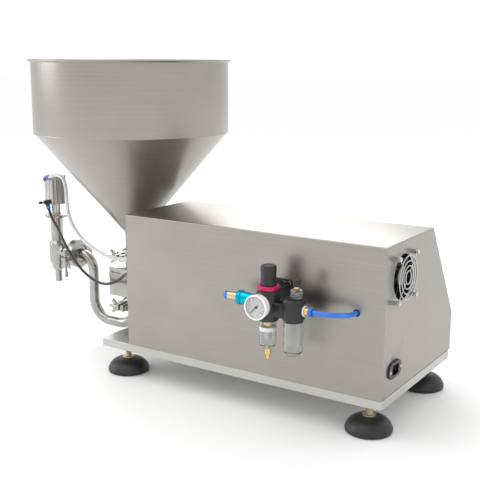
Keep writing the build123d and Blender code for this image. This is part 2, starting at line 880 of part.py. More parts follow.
piston_x = pump_x + 1.0
groove = 1.5
with BuildPart() as piston:
    add(
        turned_across(
            [
                (piston_x, 0),
                (piston_x, pump_bore_r - 2),
                (piston_x + 2, pump_bore_r - slide_gap),
                (piston_x + 6, pump_bore_r - slide_gap),
                (piston_x + 6, pump_bore_r - groove),
                (piston_x + 9, pump_bore_r - groove),
                (piston_x + 9, pump_bore_r - slide_gap),
                (piston_x + 15, pump_bore_r - slide_gap),
                (piston_x + 15, pump_bore_r - groove),
                (piston_x + 18, pump_bore_r - groove),
                (piston_x + 18, pump_bore_r - slide_gap),
                (piston_x + piston_l, pump_bore_r - slide_gap),
                (piston_x + piston_l, piston_rod_r),
                (carriage_x, piston_rod_r),
                (carriage_x, 0),
            ],
            0,
            line_y,
            block_z,
        )
    )
piston.part.label = "piston"

saddle_w = 28.0
saddle_h = 10.0
saddle_lift = 4.0
bed_h = 10.0
nut_w = 40.0
nut_top = screw_z + 22
upright_w = 28.0
rail_places = [line_y - rail_spread, line_y + rail_spread]
saddle_z = deck_z + saddle_lift
bed_z = saddle_z + saddle_h

with BuildPart() as carriage:
    with BuildSketch(Plane.YZ.offset(carriage_x)):
        with Locations((line_y, bed_z)):
            Rectangle(2 * rail_spread + saddle_w, bed_h, align=(Align.CENTER, Align.MIN))
        for rail_y in rail_places:
            with Locations((rail_y, saddle_z)):
                Rectangle(saddle_w, saddle_h, align=(Align.CENTER, Align.MIN))
        with Locations((line_y, bed_z)):
            Rectangle(nut_w, nut_top - bed_z, align=(Align.CENTER, Align.MIN))
        for rail_y in rail_places:
            with Locations((rail_y, saddle_z)):
                Rectangle(
                    rail_w + 2 * free_gap,
                    2 * (rail_h - saddle_lift + free_gap),
                    mode=Mode.SUBTRACT,
                )
        with Locations((line_y, screw_z)):
            Circle(screw_r + slide_gap, mode=Mode.SUBTRACT)
    extrude(amount=carriage_l)
    with BuildSketch(Plane.YZ.offset(carriage_x)):
        with Locations((line_y, nut_top - 2)):
            Rectangle(upright_w, block_z + 14 - nut_top, align=(Align.CENTER, Align.MIN))
    extrude(amount=18)
carriage.part.label = "carriage"

with BuildPart() as linear_rails:
    with BuildSketch(Plane.XY.offset(deck_z)):
        for rail_y in rail_places:
            with Locations((front_bearing_x + 2, rail_y)):
                Rectangle(rear_bearing_x - front_bearing_x, rail_w, align=(Align.MIN, Align.CENTER))
    extrude(amount=rail_h)
linear_rails.part.label = "linear_rails"

with BuildPart() as ball_screw:
    add(
        turned_across(
            [
                (front_bearing_x, 0),
                (front_bearing_x, journal_r),
                (front_bearing_x + bearing_t + free_gap, journal_r),
                (front_bearing_x + bearing_t + free_gap, screw_r),
                (rear_bearing_x - free_gap, screw_r),
                (rear_bearing_x - free_gap, rear_journal_r),
                (coupling_x, rear_journal_r),
                (coupling_x, coupling_r),
                (coupling_x + coupling_l, coupling_r),
                (coupling_x + coupling_l, motor_shaft_r),
                (motor_x + shaft_in_motor, motor_shaft_r),
                (motor_x + shaft_in_motor, 0),
            ],
            0,
            line_y,
            screw_z,
        )
    )
ball_screw.part.label = "ball_screw"

with BuildPart() as screw_supports:
    for support_x, thick, width, height, hole_r in (
        (front_bearing_x, bearing_t, bearing_w, bearing_h, journal_r),
        (rear_bearing_x, bearing_t, bearing_w, bearing_h, rear_journal_r),
        (motor_plate_x, motor_plate_t, motor_w + 10, motor_w / 2 + 5, motor_shaft_r),
    ):
        with BuildSketch(Plane.YZ.offset(support_x)):
            with Locations((line_y, deck_z)):
                Rectangle(width, screw_z - deck_z + height, align=(Align.CENTER, Align.MIN))
            with Locations((line_y, screw_z)):
                Circle(hole_r + running, mode=Mode.SUBTRACT)
        extrude(amount=thick)
screw_supports.part.label = "screw_supports"

encoder_l = 26.0
with BuildPart() as servo_motor:
    with BuildSketch(Plane.YZ.offset(motor_x)):
        with Locations((line_y, screw_z)):
            RectangleRounded(motor_w, motor_w, 5)
    extrude(amount=motor_l - encoder_l)
    with BuildSketch(Plane.YZ.offset(motor_x + motor_l - encoder_l)):
        with Locations((line_y, screw_z)):
            RectangleRounded(motor_w - 10, motor_w - 10, 4)
    extrude(amount=encoder_l)
    with BuildSketch(Plane.YZ.offset(motor_x)):
        with Locations((line_y, screw_z)):
            Circle(motor_shaft_r + running)
    extrude(amount=shaft_in_motor + 1, mode=Mode.SUBTRACT)
servo_motor.part.label = "servo_motor"

drive_l = 140.0
drive_w = 42.0
drive_h = 88.0
fin_count = 8
drive_x = end_x - 60 - drive_l / 2
drive_y = line_y + 84
with BuildPart() as servo_drive:
    with BuildSketch(Plane.XY.offset(deck_z)):
        with Locations((drive_x, drive_y)):
            Rectangle(drive_l, drive_w)
        for fin in range(fin_count):
            slot_x = drive_x + ((fin + 0.5) / fin_count - 0.5) * drive_l
            with Locations((slot_x, drive_y + drive_w / 2)):
                Rectangle(6, 12, mode=Mode.SUBTRACT)
    extrude(amount=drive_h)
servo_drive.part.label = "servo_drive"

valve_pitch = 24.0
with BuildPart() as air_valves:
    with BuildSketch(Plane.XY.offset(deck_z)):
        with Locations((house_x + 110, wall_y + 44)):
            Rectangle(96, 34)
    extrude(amount=24)
    with BuildSketch(Plane.XY.offset(deck_z + 24)):
        with Locations(*[(house_x + 110 + valve_pitch * step, wall_y + 44) for step in (-1, 0, 1)]):
            Rectangle(20, 26)
    extrude(amount=34)
air_valves.part.label = "air_valves"

# ---- Cooling fan, guard and screws ----

fan_back_x = end_x - panel_t - fan_depth
fan_hub_r = 16.0
fan_centre = (fan_y, fan_z)
blade_count = 7
blade_t = 1.6

with BuildPart() as fan_frame:
    with BuildSketch(Plane.YZ.offset(fan_back_x)):
        with Locations(fan_centre):
            RectangleRounded(fan_size, fan_size, 4)
            Circle(fan_opening_r, mode=Mode.SUBTRACT)
            with GridLocations(fan_screw_pitch, fan_screw_pitch, 2, 2):
                Circle(fan_screw_r + seam_gap, mode=Mode.SUBTRACT)
    extrude(amount=fan_depth)
    with BuildSketch(Plane.YZ.offset(fan_back_x)):
        with Locations(fan_centre):
            Circle(fan_hub_r)
            with PolarLocations(0, 3, start_angle=90):
                with Locations((fan_opening_r / 2, 0)):
                    Rectangle(fan_opening_r + 2, 4)
            Circle(2 + running, mode=Mode.SUBTRACT)
    extrude(amount=3)
fan_frame.part.label = "fan_frame"

with BuildPart() as fan_rotor:
    with BuildSketch(Plane.YZ.offset(fan_back_x + 3 + free_gap)):
        with Locations(fan_centre):
            Circle(fan_hub_r)
    extrude(amount=fan_depth - 5)
    with BuildSketch(Plane.YZ.offset(fan_back_x + 0.5)):
        with Locations(fan_centre):
            Circle(2)
    extrude(amount=4)
    for blade in range(blade_count):
        angle = 360 / blade_count * blade
        arm = (0, cos(radians(angle)), sin(radians(angle)))
        centre = Vector(fan_back_x + fan_depth / 2 + 1, fan_y, fan_z)
        with BuildSketch(Plane(origin=centre + Vector(*arm) * (fan_hub_r - 1), x_dir=(1, 0, 0), z_dir=arm)):
            Rectangle(24, blade_t, rotation=40)
        extrude(amount=fan_opening_r - fan_hub_r - 0.5)
fan_rotor.part.label = "fan_rotor"

guard_x = end_x + guard_stand - 3.6
guard_rings = (11.0, 19.0, 27.0, 36.0)
eye_r = 3.6
weld_offset = 1.2
screw_circle_r = fan_screw_pitch / 2**0.5

with BuildPart() as fan_guard:
    ring_section = Plane(origin=(guard_x + weld_offset, fan_y, fan_z), x_dir=(0, 1, 0), z_dir=(0, 0, 1))
    with BuildSketch(ring_section):
        with Locations(*[(ring_r, 0) for ring_r in guard_rings]):
            Circle(guard_wire_r)
    revolve(axis=Axis((guard_x + weld_offset, fan_y, fan_z), (1, 0, 0)))
    for spoke in range(4):
        angle = radians(45 + 90 * spoke)
        arm = Vector(0, cos(angle), sin(angle))
        hub = Vector(guard_x, fan_y, fan_z)
        with BuildSketch(Plane(origin=hub + arm * (guard_rings[0] - guard_wire_r), z_dir=arm)):
            Circle(guard_wire_r)
        extrude(amount=screw_circle_r - eye_r - guard_rings[0] + guard_wire_r)
        eye = hub + arm * screw_circle_r
        with BuildSketch(Plane(origin=eye, x_dir=(0, 1, 0), z_dir=(0, 0, 1))):
            with Locations((eye_r, 0)):
                Circle(guard_wire_r)
        revolve(axis=Axis(eye, (1, 0, 0)))
fan_guard.part.label = "fan_guard"

with BuildPart() as fan_screws:
    for y_way in (-1, 1):
        for z_way in (-1, 1):
            y = fan_y + y_way * fan_screw_pitch / 2
            z = fan_z + z_way * fan_screw_pitch / 2
            add(
                turned_across(
                    [
                        (end_x - panel_t - fan_depth + 2, 0),
                        (end_x - panel_t - fan_depth + 2, fan_screw_r),
                        (end_x, fan_screw_r),
                        (end_x, fan_screw_r + 1.6),
                        (guard_x - guard_wire_r - seam_gap, fan_screw_r + 1.6),
                        (guard_x - guard_wire_r - seam_gap, fan_screw_r),
                        (guard_x + guard_wire_r + seam_gap, fan_screw_r),
                        (guard_x + guard_wire_r + seam_gap, fan_screw_r + 2.2),
                        (end_x + guard_stand - 0.8, fan_screw_r + 2.2),
                        (end_x + guard_stand, fan_screw_r + 1.2),
                        (end_x + guard_stand, 0),
                    ],
                    0,
                    y,
                    z,
                )
            )
fan_screws.part.label = "fan_screws"

# ---- Power inlet ----

inlet_flange_t = 3.0
inlet_body_depth = 24.0
socket_l = 24.0
socket_h = 16.5
socket_depth = 16.0

with BuildPart() as power_inlet:
    with BuildSketch(Plane.YZ.offset(end_x)):
        with Locations((inlet_y, inlet_z)):
            RectangleRounded(inlet_flange_l, inlet_flange_h - 4, 9)
            RectangleRounded(inlet_flange_l - 16, inlet_flange_h, 3)
    extrude(amount=inlet_flange_t)
    with BuildSketch(Plane.YZ.offset(end_x)):
        with Locations((inlet_y, inlet_z)):
            Rectangle(inlet_body_l, inlet_body_h)
    extrude(amount=-inlet_body_depth)
    with BuildSketch(Plane.YZ.offset(end_x + inlet_flange_t)):
        with Locations((inlet_y, inlet_z)):
            Rectangle(socket_l, socket_h)
    extrude(amount=-socket_depth, mode=Mode.SUBTRACT)
    with BuildSketch(Plane.YZ.offset(end_x + inlet_flange_t - socket_depth)):
        with Locations((inlet_y - 7, inlet_z - 2), (inlet_y + 7, inlet_z - 2), (inlet_y, inlet_z + 2)):
            Rectangle(2, 4)
    extrude(amount=socket_depth - 3)
power_inlet.part.label = "power_inlet"

# ---- Operator's panel on the sloped face ----

bezel = 7.0
bezel_t = 5.0
collar_t = 8.0
stop_collar_r = 20.0
start_collar_r = 15.0
stop_stem_r = 7.0
start_cap_r = 10.0
stop_travel = 5.0
start_travel = 3.0
stop_at = on_slope(stop_along, stop_up)
start_at = on_slope(stop_along, start_up)


def lifted(plane, lift):
    """The same plane moved along its normal."""
    return plane.offset(lift)


with BuildPart() as operator_panel:
    with BuildSketch(on_slope(screen_along, 0)):
        RectangleRounded(screen_w + 2 * bezel, screen_h + 2 * bezel, 5)
    extrude(amount=bezel_t)
    with BuildSketch(on_slope(screen_along, 0, bezel_t)):
        Rectangle(screen_w - 14, screen_h - 14)
    extrude(amount=-1.0, mode=Mode.SUBTRACT)
    with BuildSketch(on_slope(screen_along, 0)):
        Rectangle(screen_w - 0.5, screen_h - 0.5)
    extrude(amount=-screen_depth)
    collars = ((stop_at, stop_collar_r, stop_stem_r), (start_at, start_collar_r, start_cap_r))
    for place, outer_r, hole_r in collars:
        with BuildSketch(place):
            Circle(outer_r)
            Circle(hole_r + free_gap, mode=Mode.SUBTRACT)
        extrude(amount=collar_t)
        with BuildSketch(place):
            Circle(button_hole_r)
            Circle(hole_r + free_gap, mode=Mode.SUBTRACT)
        extrude(amount=-24)
        with BuildSketch(lifted(place, -24)):
            Circle(button_hole_r)
        extrude(amount=-4)
operator_panel.part.label = "operator_panel"

with BuildPart() as stop_button:
    with BuildSketch(lifted(stop_at, -16)):
        Circle(stop_stem_r)
    extrude(amount=16 + collar_t + stop_travel + 2)
    with BuildSketch(lifted(stop_at, collar_t + stop_travel + 1)):
        Circle(20)
    extrude(amount=11)
    fillet(stop_button.edges().filter_by(GeomType.CIRCLE).sort_by(Axis(stop_at.origin, stop_at.z_dir))[-1], 6)
stop_button.part.label = "stop_button"

with BuildPart() as start_button:
    with BuildSketch(lifted(start_at, -18)):
        Circle(start_cap_r)
    extrude(amount=18 + collar_t + start_travel + 1)
    outward_axis = Axis(start_at.origin, start_at.z_dir)
    fillet(start_button.edges().filter_by(GeomType.CIRCLE).sort_by(outward_axis)[-1], 1.5)
start_button.part.label = "start_button"

# ---- Air treatment unit ----

regulator_x = house_x + regulator_along
lubricator_x = regulator_x + unit_pitch
unit_low = air_z + regulator_low
unit_high = air_z + regulator_high
neck_l = 10.0
neck_ring_r = 7.4
bonnet_r = 12.8
arm_t = 2.0
ring_h = 7.0
ring_r = 18.3
spindle_r = 4.0
joiner_x = regulator_x + unit_pitch / 2
boss_r = 10.0
boss_l = 22.0


def tube_along_x(x_from, x_to, radius, y, z):
    """Plain round bar along X."""
    return turned_across([(x_from, 0), (x_from, radius), (x_to, radius), (x_to, 0)], 0, y, z)


gauge_back_y = wall_y - gauge_reach + gauge_depth

with BuildPart() as regulator_body:
    bonnet_top = unit_high + arm_t + ring_h
    add(
        turned(
            [
                (0, unit_low - neck_l),
                (neck_ring_r, unit_low - neck_l),
                (neck_ring_r, unit_low),
                (unit_r - 2.5, unit_low),
                (unit_r, unit_low + 4),
                (unit_r, unit_high - 3),
                (unit_r - 2, unit_high),
                (bonnet_r, unit_high),
                (bonnet_r, bonnet_top),
                (spindle_r, bonnet_top),
                (spindle_r, bonnet_top + 14),
                (0, bonnet_top + 14),
            ],
            regulator_x,
            air_y,
        )
    )
    add(tube_along_x(regulator_x - boss_l, regulator_x, boss_r, air_y, air_z))
    with BuildSketch(Plane.YZ.offset(regulator_x)):
        with Locations((air_y, air_z - 8)):
            RectangleRounded(26, 24, 3)
    extrude(amount=unit_pitch / 2)
    with BuildSketch(facing(regulator_x, air_y, air_z, (0, -1, 0), (1, 0, 0))):
        Circle(5)
    extrude(amount=air_y - gauge_back_y)
regulator_body.part.label = "regulator_body"

with BuildPart() as lock_ring:
    add(
        turned(
            [
                (bonnet_r + slide_gap, unit_high + arm_t),
                (ring_r - 0.8, unit_high + arm_t),
                (ring_r, unit_high + arm_t + 0.8),
                (ring_r, unit_high + arm_t + ring_h - 0.8),
                (ring_r - 0.8, unit_high + arm_t + ring_h),
                (bonnet_r + slide_gap, unit_high + arm_t + ring_h),
            ],
            regulator_x,
            air_y,
        )
    )
lock_ring.part.label = "lock_ring"

plate_t = 2.5
plate_high = 10.0
plate_low = -26.0
bracket_screw_z = deck_z + 171.4
with BuildPart() as air_bracket:
    with BuildSketch(Plane.XY.offset(unit_high)):
        with Locations((regulator_x, air_y)):
            Circle(ring_r - 1)
        with Locations((regulator_x, (air_y + wall_y) / 2)):
            Rectangle(30, air_out)
        with Locations((regulator_x, air_y)):
            Circle(bonnet_r + slide_gap, mode=Mode.SUBTRACT)
    extrude(amount=arm_t)
    with BuildSketch(facing(regulator_x + 3, wall_y, unit_high, (0, -1, 0), (1, 0, 0))):
        with Locations((0, (plate_high + plate_low) / 2)):
            RectangleRounded(38, plate_high - plate_low, 3)
    extrude(amount=plate_t)
    with BuildSketch(facing(regulator_x, wall_y - plate_t, bracket_screw_z, (0, -1, 0), (1, 0, 0))):
        with Locations((4.7, 0), (14.8, 0)):
            Circle(3.2)
    extrude(amount=2)
air_bracket.part.label = "air_bracket"

knob_z = bonnet_top + free_gap
with BuildPart() as regulator_knob:
    add(
        turned(
            [
                (0, knob_z),
                (knob_r - 0.5, knob_z),
                (knob_r, knob_z + 1),
                (knob_r - 0.8, knob_z + 12),
                (knob_r - 0.8, knob_z + 20),
                (knob_r, knob_z + knob_h - 5),
                (knob_r - 1.5, knob_z + knob_h - 1),
                (knob_r - 4, knob_z + knob_h),
                (0, knob_z + knob_h),
            ],
            regulator_x,
            air_y,
        )
    )
    with BuildSketch(Plane.XY.offset(knob_z)):
        with Locations((regulator_x, air_y)):
            Circle(spindle_r + running)
    extrude(amount=14 + free_gap, mode=Mode.SUBTRACT)
    with BuildSketch(Plane.XY.offset(knob_z + 2)):
        with Locations((regulator_x, air_y)):
            with PolarLocations(knob_r + 0.6, 12):
                Circle(1.4)
    extrude(amount=knob_h - 8, mode=Mode.SUBTRACT)
regulator_knob.part.label = "regulator_knob"


def turned_out(points, x, y, z):
    """Solid turned about an axis along Y from an outline of distance towards -Y, radius pairs."""
    with BuildPart(mode=Mode.PRIVATE) as piece:
        with BuildSketch(Plane(origin=(x, y, z), x_dir=(0, -1, 0), z_dir=(-1, 0, 0))):
            with BuildLine():
                Polyline(*points, close=True)
            make_face()
        revolve(axis=Axis((x, y, z), (0, -1, 0)))
    return piece.part


dial_at = gauge_depth - 4.5
needle_pin_r = 0.8
with BuildPart() as pressure_gauge:
    add(
        turned_out(
            [
                (0, 0),
                (0, gauge_r - 3),
                (1.5, gauge_r - 1.3),
                (gauge_depth - 4.5, gauge_r - 1.3),
                (gauge_depth - 4, gauge_r),
                (gauge_depth - 0.8, gauge_r),
                (gauge_depth, gauge_r - 0.8),
                (gauge_depth, gauge_r - 2.6),
                (dial_at, gauge_r - 2.6),
                (dial_at, needle_pin_r + running),
                (dial_at - 3, needle_pin_r + running),
                (dial_at - 3, 0),
            ],
            regulator_x,
            gauge_back_y,
            air_z,
        )
    )
pressure_gauge.part.label = "pressure_gauge"

needle_angle = 225.0
needle_y = gauge_back_y - dial_at - 0.5
with BuildPart() as gauge_needle:
    with BuildSketch(facing(regulator_x, needle_y, air_z, (0, -1, 0), (1, 0, 0))):
        Circle(2.2)
        with Locations(Location((0, 0, 0), (0, 0, needle_angle))):
            with Locations((4.5, 0)):
                Rectangle(19, 1.2)
    extrude(amount=0.8)
    with BuildSketch(facing(regulator_x, needle_y, air_z, (0, 1, 0), (1, 0, 0))):
        Circle(needle_pin_r)
    extrude(amount=2.5)
gauge_needle.part.label = "gauge_needle"

bowl_wall = 1.5
filter_bowl_h = 38.0
bowl_top = unit_low - neck_l
drain_stem_r = 2.0
drain_h = 18.0
with BuildPart() as filter_bowl:
    add(
        turned(
            [
                (neck_ring_r + running, unit_low),
                (filter_bowl_r, unit_low),
                (filter_bowl_r, bowl_top - filter_bowl_h + 6),
                (filter_bowl_r - 5, bowl_top - filter_bowl_h),
                (drain_stem_r + running, bowl_top - filter_bowl_h),
                (drain_stem_r + running, bowl_top - filter_bowl_h + 2),
                (filter_bowl_r - 5.5, bowl_top - filter_bowl_h + 2),
                (filter_bowl_r - bowl_wall, bowl_top - filter_bowl_h + 7),
                (filter_bowl_r - bowl_wall, unit_low - 2),
                (neck_ring_r + running, unit_low - 2),
            ],
            regulator_x,
            air_y,
        )
    )
filter_bowl.part.label = "filter_bowl"

drain_top = bowl_top - filter_bowl_h - free_gap
with BuildPart() as drain_valve:
    add(
        turned(
            [
                (0, drain_top + 5),
                (drain_stem_r, drain_top + 5),
                (drain_stem_r, drain_top),
                (5.8, drain_top),
                (5.8, drain_top - 10),
                (3.6, drain_top - 11),
                (3.6, drain_top - drain_h),
                (0, drain_top - drain_h),
            ],
            regulator_x,
            air_y,
        )
    )
drain_valve.part.label = "drain_valve"

lubricator_high = air_z + 13.0
lubricator_low = unit_low + 7.0
lubricator_bowl_h = 59.0
port_face_x = lubricator_x + lubricator_r + 1
dome_h_clear = 17.0
dome_r = 10.0
with BuildPart() as lubricator_body:
    add(
        turned(
            [
                (0, lubricator_low),
                (lubricator_r - 2, lubricator_low),
                (lubricator_r, lubricator_low + 3),
                (lubricator_r, lubricator_high - 3),
                (lubricator_r - 2, lubricator_high),
                (0, lubricator_high),
            ],
            lubricator_x,
            air_y,
        )
    )
    with BuildSketch(Plane.YZ.offset(joiner_x)):
        with Locations((air_y, air_z - 8)):
            RectangleRounded(26, 24, 3)
    extrude(amount=unit_pitch / 2)
    add(tube_along_x(lubricator_x, port_face_x, boss_r, air_y, air_z - 4.5))
lubricator_body.part.label = "lubricator_body"

with BuildPart() as lubricator_bowl:
    add(
        turned(
            [
                (0, lubricator_low),
                (lubricator_bowl_r, lubricator_low),
                (lubricator_bowl_r, lubricator_low - lubricator_bowl_h + 7),
                (lubricator_bowl_r - 6, lubricator_low - lubricator_bowl_h),
                (0, lubricator_low - lubricator_bowl_h),
                (0, lubricator_low - lubricator_bowl_h + 2.5),
                (lubricator_bowl_r - 7, lubricator_low - lubricator_bowl_h + 2.5),
                (lubricator_bowl_r - 2, lubricator_low - lubricator_bowl_h + 8),
                (lubricator_bowl_r - 2, lubricator_low - 3),
                (0, lubricator_low - 3),
            ],
            lubricator_x,
            air_y,
        )
    )
lubricator_bowl.part.label = "lubricator_bowl"

dome_x = lubricator_x + 5.0
dome_top = lubricator_high + dome_h_clear
with BuildPart() as sight_dome:
    add(
        turned(
            [
                (0, lubricator_high),
                (dome_r, lubricator_high),
                (dome_r, dome_top - 4),
                (dome_r - 3, dome_top),
                (drain_stem_r + running, dome_top),
                (drain_stem_r + running, dome_top - 3),
                (dome_r - 2, dome_top - 5),
                (dome_r - 2, lubricator_high + 2),
                (0, lubricator_high + 2),
            ],
            dome_x,
            air_y,
        )
    )
sight_dome.part.label = "sight_dome"

with BuildPart() as lubricator_knob:
    add(
        turned(
            [
                (0, dome_top - 2.5),
                (drain_stem_r, dome_top - 2.5),
                (drain_stem_r, dome_top + free_gap),
                (4.5, dome_top + free_gap),
                (4.5, dome_top + 4),
                (6.6, dome_top + 5),
                (6.6, dome_top + 14),
                (5.6, dome_top + 15),
                (0, dome_top + 15),
            ],
            dome_x,
            air_y,
        )
    )
lubricator_knob.part.label = "lubricator_knob"

sleeve_x = house_x + 280.5
core_r = 7.5
core_bore_r = 3.0
socket_in = 12.0
hex_x = house_x + 261.0
collar_start_x = house_x + 255.0
with BuildPart() as valve_sleeve:
    add(
        turned_across(
            [
                (sleeve_x, core_r + slide_gap),
                (sleeve_x, 11.4),
                (sleeve_x + 0.8, 12.2),
                (sleeve_x + 7.2, 12.2),
                (sleeve_x + 8, 10.8),
                (sleeve_x + slide_sleeve_l - 8, 9.6),
                (sleeve_x + slide_sleeve_l - 7, 10.2),
                (sleeve_x + slide_sleeve_l, 10.2),
                (sleeve_x + slide_sleeve_l, core_r + slide_gap),
            ],
            0,
            air_y,
            air_z,
        )
    )
valve_sleeve.part.label = "valve_sleeve"

outlet_z = air_z - 4.5
outlet_end_x = port_face_x + 14.5
with BuildPart() as unit_fittings:
    add(
        turned_across(
            [
                (collar_start_x, big_hose_r + slide_gap),
                (collar_start_x, 6.7),
                (hex_x, 6.7),
                (hex_x, 7.0),
                (sleeve_x - slide_travel - 1, 7.0),
                (sleeve_x - slide_travel - 1, core_r),
                (regulator_x - boss_l, core_r),
                (regulator_x - boss_l, core_bore_r),
                (collar_start_x + socket_in, core_bore_r),
                (collar_start_x + socket_in, big_hose_r + slide_gap),
            ],
            0,
            air_y,
            air_z,
        )
    )
    add(
        turned_across(
            [
                (port_face_x, 0),
                (port_face_x, 8.8),
                (port_face_x + 2, 8.8),
                (port_face_x + 2, 7.2),
                (port_face_x + 8.5, 7.2),
                (port_face_x + 8.5, 7.4),
                (outlet_end_x, 7.4),
                (outlet_end_x, 0),
            ],
            0,
            air_y,
            outlet_z,
        )
    )
unit_fittings.part.label = "unit_fittings"

# ---- Push-in fittings of the hoses ----

port_shift = 9.0
fitting_out = half_w + 8.0
lower_way = Vector(0.5 * square_x[0], 0.5 * square_x[1], -0.866)
upper_way = Vector(0.951 * square_x[0], 0.951 * square_x[1], 0.309)
lower_centre = square.from_local_coords((port_shift, -fitting_out, lower_port_z))
upper_centre = square.from_local_coords((port_shift, -fitting_out, upper_port_z))
lower_exit = lower_centre + lower_way * 16.0
upper_exit = upper_centre + upper_way * 18.0
outward = Vector(*square_y) * -1
port_reach = 12.0
black_port = Vector(house_x, black_port_y, black_port_z)
clear_port = Vector(house_x, clear_port_y, clear_port_z)
blue_end = Vector(house_x + hose_hole_along, wall_y + 8.0, deck_z + hose_hole_up)


def bar(start, way, length, radius):
    """Round bar from a point along a direction."""
    with BuildPart(mode=Mode.PRIVATE) as piece:
        with BuildSketch(Plane(origin=start, z_dir=way)):
            Circle(radius)
        extrude(amount=length)
    return piece.part


with BuildPart() as hose_fittings:
    add(bar(upper_centre - outward * 8.0, outward, 12.5, 3.2))
    add(bar(upper_centre - upper_way * 5.0, upper_way, 13.0, 4.6))
    add(bar(upper_centre + upper_way * 8.0, upper_way, 10.0, 5.4))
    add(bar(lower_centre - outward * 8.0, outward, 14.0, 4.8))
    add(bar(lower_centre + outward * 6.0, outward, 7.0, 2.0))
    add(bar(lower_centre + outward * 12.0, outward, 6.5, 3.2))
    add(bar(lower_centre, lower_way, 11.0, 4.6))
    add(bar(lower_centre + lower_way * 11.0, lower_way, 5.0, 4.4))
    for port in (black_port, clear_port):
        add(bar(port - Vector(port_reach, 0, 0), (1, 0, 0), port_reach - seam_gap, 7.5))
        add(bar(port - Vector(1, 0, 0), (1, 0, 0), 14, port_hole_r - seam_gap))
    add(bar(blue_end, (0, 1, 0), 12, 8))
    with BuildSketch(facing(blue_end.X, wall_y + sheet_t, blue_end.Z, (0, 1, 0), (1, 0, 0))):
        Circle(10)
        Circle(hose_hole_r, mode=Mode.SUBTRACT)
    extrude(amount=8.0 - sheet_t + 1)
hose_fittings.part.label = "hose_fittings"

# ---- Hoses: straight runs joined by tangent arcs, each arc as large as its runs allow ----

blue_route = [
    (outlet_end_x, air_y, outlet_z),
    (353.2, air_y, outlet_z),
    (373.8, -169.1, 211.3),
    (blue_end.X, -149.1, blue_end.Z),
    tuple(blue_end),
]
black_route = [
    tuple(lower_exit),
    tuple(lower_exit + lower_way * 20.0),
    (-379.3, -18.1, 242.9),
    (-358.3, -27.1, 224.7),
    (-337.7, -34.1, 206.5),
    (-316.6, -39.1, 188.3),
    (-295.8, -41.1, 171.3),
    (-272.2, -42.1, 157.2),
    (-247.1, -43.6, 149.1),
    (-223.2, -45.6, 147.8),
    (-198.6, -49.1, 155.1),
    (-174.9, -53.6, 167.5),
    (-157.8, -60.5, 179.5),
    (-138.8, -70.6, 188.5),
    (-119.2, -77.1, 192.0),
    tuple(black_port - Vector(port_reach, 0, 0)),
]
clear_route = [
    tuple(upper_exit),
    tuple(upper_exit + upper_way * 24.0),
    (-359.5, -26.5, 358.5),
    (-341.0, -33.0, 345.0),
    (-332.5, -37.5, 323.5),
    (-331.5, -38.5, 300.0),
    (-326.8, -38.3, 277.0),
    (-315.5, -37.8, 256.5),
    (-299.0, -38.0, 239.5),
    (-277.5, -39.6, 226.5),
    (-251.5, -43.0, 217.0),
    (-223.5, -47.6, 211.0),
    (-195.0, -53.0, 208.2),
    (-168.0, -60.5, 210.5),
    (-144.0, -69.0, 216.5),
    (-121.5, -75.1, 221.0),
    tuple(clear_port - Vector(port_reach, 0, 0)),
]


def hose(route, radius):
    """Hose tube along a route, and the radii of its arcs."""
    points = [Vector(*point) for point in route]
    runs = [after - before for before, after in zip(points, points[1:])]
    bends = []
    for one, two in zip(runs, runs[1:]):
        shorter = min(one.length, two.length)
        bends.append(0.45 * shorter / tan(radians(one.get_angle(two)) / 2))
    with BuildPart() as tube:
        with BuildLine() as line:
            FilletPolyline(*route, radius=bends)
        with BuildSketch(Plane(origin=line.line @ 0, z_dir=line.line % 0)):
            Circle(radius)
        sweep()
    length = sum(edge.length for edge in line.edges())
    print("bend radii", [round(bend, 1) for bend in bends])
    print("length", round(length, 1), "volume", round(tube.part.volume), "of", round(pi * radius**2 * length))
    return tube


blue_hose = hose(blue_route, big_hose_r)
blue_hose.part.label = "blue_hose"
black_hose = hose(black_route, small_hose_r)
black_hose.part.label = "black_hose"
clear_hose = hose(clear_route, big_hose_r)
clear_hose.part.label = "clear_hose"

# ---- Files ----

pieces = [
    base_plate, *feet, cover_shell, front_panel, rear_panel,
    hopper, joint_gaskets, pipe_clamps, nozzle_clamp, *wing_nuts,
    valve_block, valve_rotor, valve_actuator, discharge_pipe,
    nozzle_body, nozzle_tip, cylinder_mount, nozzle_cylinder, nozzle_stem,
    pump_cylinder, piston, cylinder_bracket, carriage, linear_rails,
    ball_screw, screw_supports, servo_motor, servo_drive, air_valves,
    fan_frame, fan_rotor, fan_guard, fan_screws, power_inlet,
    operator_panel, stop_button, start_button,
    regulator_body, lock_ring, air_bracket, regulator_knob, pressure_gauge, gauge_needle,
    filter_bowl, drain_valve, lubricator_body, lubricator_bowl, sight_dome, lubricator_knob,
    valve_sleeve, unit_fittings, hose_fittings,
    blue_hose, black_hose, clear_hose,
]
for piece in pieces:
    export_step(piece.part, f"parts/{piece.part.label}.step")
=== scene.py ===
import json
from math import cos, pi, radians, sin

import bmesh
import bpy
from mathutils import Matrix, Vector


